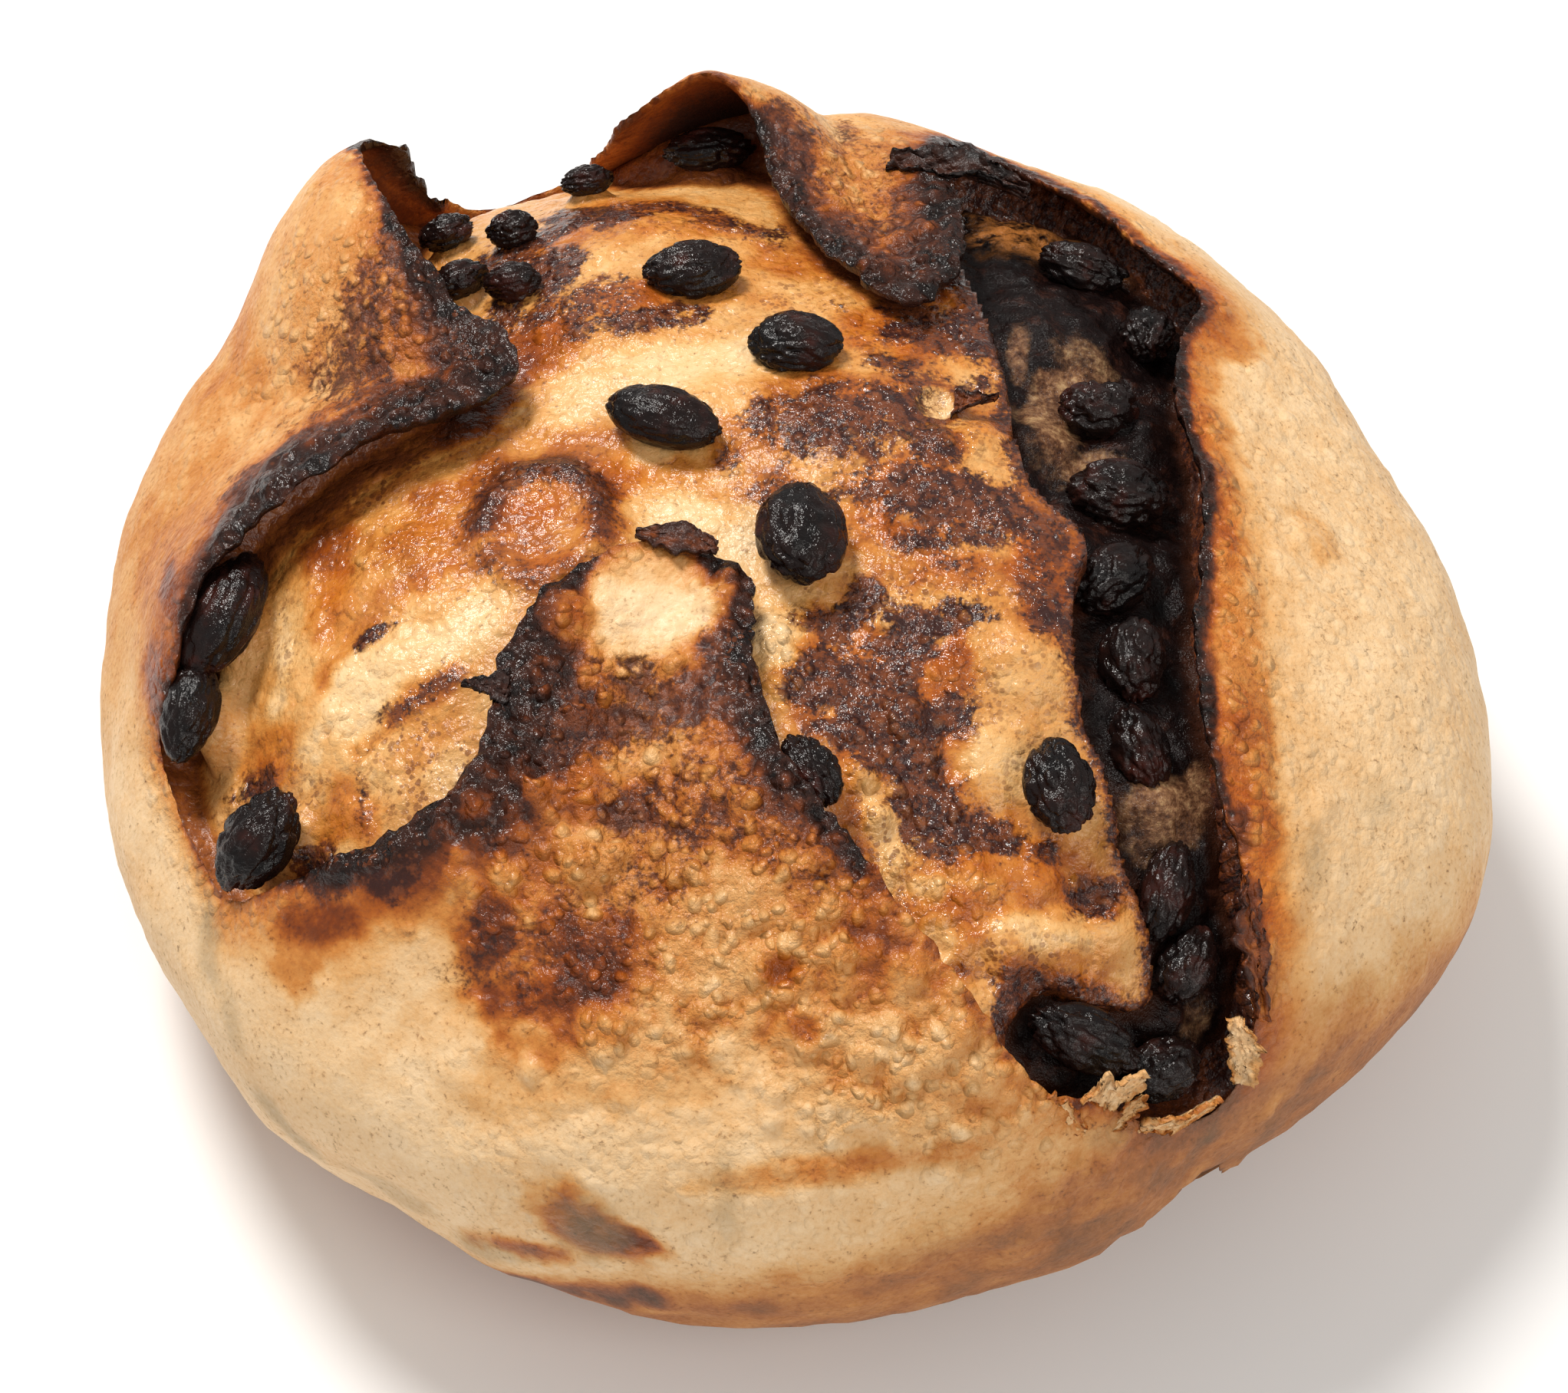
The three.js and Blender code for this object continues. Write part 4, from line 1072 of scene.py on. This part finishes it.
def bakedMaterial(name, colours, look):
    material, tree, shader, coordinates = newMaterial(name)
    beaded = attribute(tree, "beads")
    swell = times(tree, beads(tree, coordinates, 2.5), beaded)
    speckle = grain(tree, coordinates, 0.85, 2, 0.65)
    broad = centred(tree, grain(tree, coordinates, 7, 4, 0.7), look["mottle"])
    fine = centred(tree, speckle, look["speck"])
    tone = plus(tree, plus(tree, attribute(tree, "tone"), broad), fine)
    tone = maths(tree, "SUBTRACT", tone, times(tree, swell, look["beadTop"]))
    tone = plus(tree, tone, times(tree, beaded, 0.62 * look["beadTop"]), clamp=True)
    colour = ramp(tree, tone, colours)
    warm = times(tree, attribute(tree, "warm"), step(tree, grain(tree, coordinates, 9, 2), 0.2, 0.7))
    colour = blend(tree, times(tree, warm, look["warmth"]), colour, bakeColours["warm"], "MULTIPLY")
    clumps = centred(tree, grain(tree, coordinates, 5, 4, 0.75), 0.8)
    cover = plus(tree, plus(tree, attribute(tree, "cinnamon"), clumps), centred(tree, speckle, 1.7))
    cover = maths(tree, "SUBTRACT", cover, times(tree, swell, 0.25))
    cover = times(tree, step(tree, cover, 0.12, 0.7), look["spice"])
    spice = blend(tree, step(tree, grain(tree, coordinates, 2.6, 3, 0.75), 0.36, 0.56),
                  bakeColours["cinnamonLight"], bakeColours["cinnamonDark"])
    colour = blend(tree, cover, colour, spice)
    tops = times(tree, step(tree, swell, 0.35, 0.9), times(tree, cover, look["tops"]))
    colour = blend(tree, tops, colour, bakeColours["beadTop"])
    dust = times(tree, attribute(tree, "dust"), step(tree, grain(tree, coordinates, 6, 1), 0.36, 0.56))
    cell = add(tree, "ShaderNodeTexVoronoi", {"Vector": coordinates, "Scale": 1000 / 0.9})
    size = times(tree, maths(tree, "SUBTRACT", cell.outputs["Color"], look["bareDust"]), 1.1)
    dots = step(tree, maths(tree, "SUBTRACT", size, cell.outputs["Distance"]), -0.12, 0.1)
    colour = blend(tree, times(tree, dots, times(tree, dust, 0.8)), colour, bakeColours["dust"])
    colour = blend(tree, times(tree, attribute(tree, "shadow"), 0.6), colour, bakeColours["shadow"])
    tree.links.new(colour, shader.inputs["Base Color"])
    rough = maths(tree, "SUBTRACT", look["dry"], times(tree, attribute(tree, "gloss"), look["drop"]))
    rough = plus(tree, rough, centred(tree, speckle, 0.5))
    tree.links.new(rough, shader.inputs["Roughness"])
    shader.inputs["Specular IOR Level"].default_value = look["shine"]
    rising = plus(tree, times(tree, beaded, 0.75), 0.25)
    height = plus(tree, times(tree, swell, 1.6), times(tree, speckle, rising))
    broader = times(tree, grain(tree, coordinates, 3.5, 2), plus(tree, beaded, 0.6))
    height = plus(tree, height, broader)
    addBump(tree, shader, height, look)
    return material


def addGloss(tree, shader, coordinates, look):  # an uneven, sticky shine
    uneven = step(tree, grain(tree, coordinates, 2.0, 4), 0.35, 0.75)
    rough = plus(tree, times(tree, uneven, look["rougher"]), look["smoothest"])
    tree.links.new(rough, shader.inputs["Roughness"])
    shader.inputs["Specular IOR Level"].default_value = look["shine"]


raisinLook = {
    "colours": [
        (0.35, (0.005, 0.0035, 0.0035)), (0.55, (0.012, 0.005, 0.004)), (0.75, (0.05, 0.012, 0.008)),
    ],
    "smoothest": 0.05, "rougher": 0.2, "shine": 0.26, "bump": 0.75, "bumpDepth": 0.7,
}


def raisinMaterial():
    material, tree, shader, coordinates = newMaterial("raisinSkin")
    colour = ramp(tree, grain(tree, coordinates, 6, 3), raisinLook["colours"])
    tree.links.new(colour, shader.inputs["Base Color"])
    addGloss(tree, shader, coordinates, raisinLook)
    addBump(tree, shader, grain(tree, coordinates, 2.2, 4, 0.7), raisinLook)
    return material


fillingLook = {
    "black": [
        (0.3, (0.004, 0.0025, 0.0025)), (0.55, (0.009, 0.004, 0.0035)), (0.75, (0.045, 0.014, 0.008)),
    ],
    "crumbs": [
        (0.25, (0.035, 0.014, 0.008)), (0.42, (0.11, 0.046, 0.022)), (0.58, (0.25, 0.125, 0.06)),
        (0.75, (0.44, 0.27, 0.13)),
    ],
    "brown": (0.08, 0.024, 0.01),
    "amber": (0.36, 0.13, 0.03),
    "smoothest": 0.07, "rougher": 0.3, "shine": 0.14, "bump": 0.8, "bumpDepth": 0.9,
}


def fillingMaterial():
    material, tree, shader, coordinates = newMaterial("stickyFilling")
    patches = grain(tree, coordinates, 4, 3, 0.7)
    speckle = grain(tree, coordinates, 1.1, 3, 0.7)
    crumbs = ramp(tree, plus(tree, patches, centred(tree, speckle, 0.8)), fillingLook["crumbs"])
    cover = plus(tree, attribute(tree, "dough"), centred(tree, grain(tree, coordinates, 5, 5, 0.85), 1.3))
    colour = blend(tree, step(tree, cover, 0.2, 0.95), ramp(tree, patches, fillingLook["black"]), crumbs)
    colour = blend(tree, times(tree, attribute(tree, "brown"), 0.7), colour, fillingLook["brown"])
    amber = times(tree, attribute(tree, "amber"), step(tree, patches, 0.35, 0.6))
    tree.links.new(blend(tree, amber, colour, fillingLook["amber"]), shader.inputs["Base Color"])
    addGloss(tree, shader, coordinates, fillingLook)
    addBump(tree, shader, grain(tree, coordinates, 2.0, 4, 0.75), fillingLook)
    return material


def raisinShape(ball, length, width, thickness, seed, smoothness):
    x, y, z = ball.T
    ridges = np.abs(layered(1.5 * x, 3.0 * y, 3.0 * z, 1.0, 100 + seed, 2))
    puckers = np.abs(layered(2.6 * x, 4.5 * y, 4.5 * z, 1.0, 150 + seed, 2))
    lumps = layered(1.3 * x, 1.3 * y, 1.3 * z, 1.0, 200 + seed, 2)
    rough = 1 - smoothness
    swell = 1.03 + 0.09 * lumps - (0.13 * rough + 0.04) * (1 - smooth(0, 0.3, ridges))
    swell = swell - 0.07 * rough * (1 - smooth(0, 0.25, puckers))
    blunt = 1 + 0.10 * (np.abs(x) ** 4) * rough
    pointed = 1 - 0.30 * smoothness * np.abs(x) ** 2.5
    halves = (length / 2 * blunt, width / 2 * pointed, thickness / 2 * pointed)
    return np.stack([axis * half * swell for axis, half in zip(ball.T, halves)], axis=-1)


def raisinFrame(u, v, lift, degrees):
    middle = pointOn(np.array([u]), np.array([v]), np.array([lift]))[0]
    up = pointOn(np.array([u]), np.array([v]), np.array([lift + 1.0]))[0] - middle
    up /= np.linalg.norm(up)
    heading = math.radians(degrees)
    across = np.cross(up, (math.cos(heading), math.sin(heading), 0))
    across /= np.linalg.norm(across)
    return middle, np.stack([np.cross(across, up), across, up])


def makeRaisins():
    skin = raisinMaterial()
    for i, (u, v, lift, length, width, thickness, degrees, smoothness) in enumerate(raisins["rows"]):
        bm = bmesh.new()
        bmesh.ops.create_icosphere(bm, subdivisions=raisins["icosphere"], radius=1)
        piece = newPiece("wrinkledRaisin_%02d" % (i + 1), bm, skin)
        middle, axes = raisinFrame(u, v, lift, degrees)
        shape = raisinShape(placesOf(piece.data), length, width, thickness, i, smoothness)
        setPlaces(piece.data, (middle + shape @ axes) * mm)
        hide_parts("raisin_%02d" % (i + 1))
        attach(piece, "root")


# Loose flakes and torn lips. Spine: map point and lift; half width at its start, middle and end;
# side: which way the width runs, in map and lift; curl: how far the long edges bend up;
# tones: in the middle and at the edge
flakes = {
    "thickness": 0.8,
    "finish": {"warm": 0.1, "cinnamon": 0, "shadow": 0, "gloss": 0.4, "beads": 0.6, "dust": 0},
    "rows": {
        "curlFlake": {
            "spine": [(17, 71.5, 5.4), (23.5, 69.3, 6.2), (31, 66.3, 7.2), (38, 63, 5.5)],
            "widths": (1.4, 2.6, 0.5), "side": (0.3, 1, 0.5), "curl": 1.8, "tones": (0.84, 0.97),
        },
        "leftSpur": {
            "spine": [(-37.5, -40.5, 7.6), (-40, -40.3, 8.2), (-43.5, -40, 9.2)], "widths": (2.6, 1.4, 0.2),
            "side": (0, 1, 0.2), "curl": 0.4, "tones": (0.86, 0.97), "crinkle": 0.25,
        },
        "tipSpur": {
            "spine": [(-9, -18.8, 7.2), (-14, -17.6, 8.0), (-20.5, -16.2, 7.8)], "widths": (1.0, 2.6, 0.6),
            "side": (0.25, 1, 0.0), "curl": 0.5, "tones": (0.72, 0.82), "crinkle": 0.3,
        },
        "blisterTip": {
            "spine": [(25.5, 13.5, 2.9), (28, 13.4, 3.9), (32, 14.2, 4.2)], "widths": (2.2, 1.0, 0.15),
            "side": (0.1, 1, 0.3), "curl": 0.7, "tones": (0.66, 0.9), "crinkle": 0.3,
        },
        "rightLip": {
            "spine": [(66, -61, 2.0), (66.5, -68, 2.6), (68, -74, 2.6), (71, -81, 1.4)],
            "widths": (0.8, 2.4, 1.2), "side": (1, 0, -0.2), "curl": 0.8, "tones": (0.56, 0.74),
        },
        "cornerFlakeA": {
            "spine": [(44, -97.5, 0), (48, -95, 1.6), (53, -92.5, 1.8)], "widths": (1.8, 3.2, 1.2),
            "side": (-0.3, 1, 0.6), "curl": 1.0, "tones": (0.16, 0.28),
        },
        "cornerFlakeB": {
            "spine": [(67, -82, 1.0), (69, -86, 1.6), (71, -91, 0.8)], "widths": (1.0, 2.2, 1.2),
            "side": (1, 0.2, 0.8), "curl": 0.8, "tones": (0.16, 0.34),
        },
        "cornerFlakeC": {
            "spine": [(34, -95.5, 1.0), (39, -98, 1.4), (45, -100.5, 0.6)], "widths": (1.0, 2.4, 1.2),
            "side": (0.2, 1, 0.4), "curl": 0.6, "tones": (0.2, 0.5),
        },
        "cornerFlakeD": {
            "spine": [(55, -99.5, 0.4), (61, -98.5, 1.2), (68, -94.5, 0.6)], "widths": (1.0, 2.0, 1.0),
            "side": (0, 1, 0.6), "curl": 0.6, "tones": (0.18, 0.4),
        },
        "cornerFlakeE": {
            "spine": [(49, -100.5, 0.2), (52, -97.5, 0.6), (54, -95, 0.2)], "widths": (1.6, 2.0, 0.8),
            "side": (1, 0.3, 0.5), "curl": 0.6, "tones": (0.2, 0.5),
        },
    },
}


def makeFlakes(material):
    for seed, (name, f) in enumerate(flakes["rows"].items()):
        bm = bmesh.new()
        bmesh.ops.create_grid(bm, x_segments=44, y_segments=16, size=1)
        grid = gridOf(bm)
        along, across = (grid[:, 0] + 1) / 2, grid[:, 1]
        spine = np.array(f["spine"], float)
        stops = np.linspace(0, 1, len(spine))
        middle = np.stack([np.interp(along, stops, spine[:, k]) for k in range(3)], axis=-1)
        width = np.interp(along, (0, 0.5, 1), f["widths"])
        crinkle = f.get("crinkle", 0.7)
        torn = 1 + 1.2 * crinkle * layered(14 * along, 2 * across, 0 * along, 1.2, 300 + seed, 4)
        side = np.array(f["side"], float)
        side /= np.linalg.norm(side)
        places = middle + (across * width * torn)[:, None] * side
        places[:, :2] += 0.5 * layered(8 * along, 5 * across, 0 * along, 1, 310 + seed)[:, None]
        waves = layered(8 * along, 4 * across, 0 * along, 1, 320 + seed)
        places[:, 2] += f["curl"] * across ** 2 + crinkle * waves
        outer = pointOn(*places.T)
        run = outer[np.argmax(along)] - outer[np.argmin(along)]
        ahead = outer[np.argmax(across)] - outer[np.argmin(across)]
        under = np.cross(run, ahead)
        under *= -math.copysign(flakes["thickness"], under[2]) / np.linalg.norm(under)
        moveVerts(bm, outer)
        thicken(bm, under)
        piece = newPiece(name, bm, material)
        u, v, lift = mapOf(placesOf(piece.data) / mm)
        rim = np.resize(smooth(0.5, 1, np.abs(across)), len(u))
        low, high = f["tones"]
        tones = {name: share + 0 * u for name, share in flakes["finish"].items()}
        tones["tone"] = mix(low, high, rim) + 0.12 * layered(u, v, lift, 2, 340 + seed)
        setTones(piece, tones)
        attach(piece, "root")


crustPiece = makeCrust()
print("crust made:", len(crustPiece.data.polygons))
crumbPiece = makeCrumb()
print("crumb made:", len(crumbPiece.data.polygons))
fillingPiece = makeFilling()
print("filling made:", len(fillingPiece.data.polygons))
paintCrust(crustPiece)
paintCrumb(crumbPiece)
print("tones painted")
crustPiece.data.materials.clear()
crustPiece.data.materials.append(bakedMaterial("bakedCrust", bakeColours["crust"], crustLook))
crumbPiece.data.materials.append(bakedMaterial("bakedCrumb", bakeColours["crumb"], crumbLook))
fillingPiece.data.materials.append(fillingMaterial())
makeFlakes(crustPiece.data.materials[0])
for piece in (crustPiece, crumbPiece, fillingPiece):
    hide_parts("loaf")
    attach(piece, "root")
makeRaisins()
print("raisins made")

camera = {
    "elevation": 52,
    "distance": 500,
    "aim": (0, 0, 45),
    "sideways": 0.4,
    "upwards": -5.1,
    "focalPixels": 4162.5,
    "imageWidth": 2044,
    "sensorWidth": 36,
}
studio = {
    "lights": {
        "keyLight": {"place": (-0.32, 0.38, 0.95), "size": 0.3, "power": 10.2, "colour": (1, 0.97, 0.93)},
        "fillLight": {"place": (0.5, -0.7, 0.8), "size": 0.8, "power": 4.2, "colour": (1, 0.96, 0.9)},
    },
    "aim": (0, 0, 0.04),
    "worldColour": (1, 0.99, 0.97, 1),
    "worldStrength": 0.46,
    "floorColour": (0.9, 0.9, 0.9),
    "floorRoughness": 0.9,
    "floorHalf": 3,
}


def makeCamera():
    tilt = math.radians(camera["elevation"])
    back = Vector((0, -math.cos(tilt), math.sin(tilt)))
    up = Vector((0, math.sin(tilt), math.cos(tilt)))
    right = Vector((1, 0, 0))
    place = Vector(camera["aim"]) + back * camera["distance"]
    place = place + right * camera["sideways"] + up * camera["upwards"]
    data = bpy.data.cameras.new("photoCamera")
    data.sensor_fit = "HORIZONTAL"
    data.sensor_width = camera["sensorWidth"]
    data.lens = camera["focalPixels"] / camera["imageWidth"] * camera["sensorWidth"]
    eye = bpy.data.objects.new("photoCamera", data)
    turn = Matrix((right, up, back)).transposed().to_4x4()
    eye.matrix_world = Matrix.Translation(place * mm) @ turn
    bpy.context.scene.collection.objects.link(eye)
    bpy.context.scene.camera = eye


def makeLights():
    for name, light in studio["lights"].items():
        data = bpy.data.lights.new(name, "AREA")
        data.shape = "DISK"
        data.size = light["size"]
        data.energy = light["power"]
        data.color = light["colour"]
        lamp = bpy.data.objects.new(name, data)
        lamp.location = light["place"]
        towards = Vector(light["place"]) - Vector(studio["aim"])
        lamp.rotation_euler = towards.to_track_quat("Z", "Y").to_euler()
        bpy.context.scene.collection.objects.link(lamp)
    world = bpy.data.worlds.new("studioWorld")
    bpy.context.scene.world = world
    world.use_nodes = True
    background = world.node_tree.nodes["Background"]
    background.inputs["Color"].default_value = studio["worldColour"]
    background.inputs["Strength"].default_value = studio["worldStrength"]
    bpy.context.scene.view_settings.view_transform = "Standard"


def makeFloor():
    material, _, shader, _ = newMaterial("paleFloor")
    shader.inputs["Base Color"].default_value = (*studio["floorColour"], 1)
    shader.inputs["Roughness"].default_value = studio["floorRoughness"]
    bm = bmesh.new()
    bmesh.ops.create_grid(bm, x_segments=1, y_segments=1, size=studio["floorHalf"])
    newPiece("studioFloor", bm, material)


makeCamera()
makeFloor()
makeLights()
print("camera, floor and lights set")
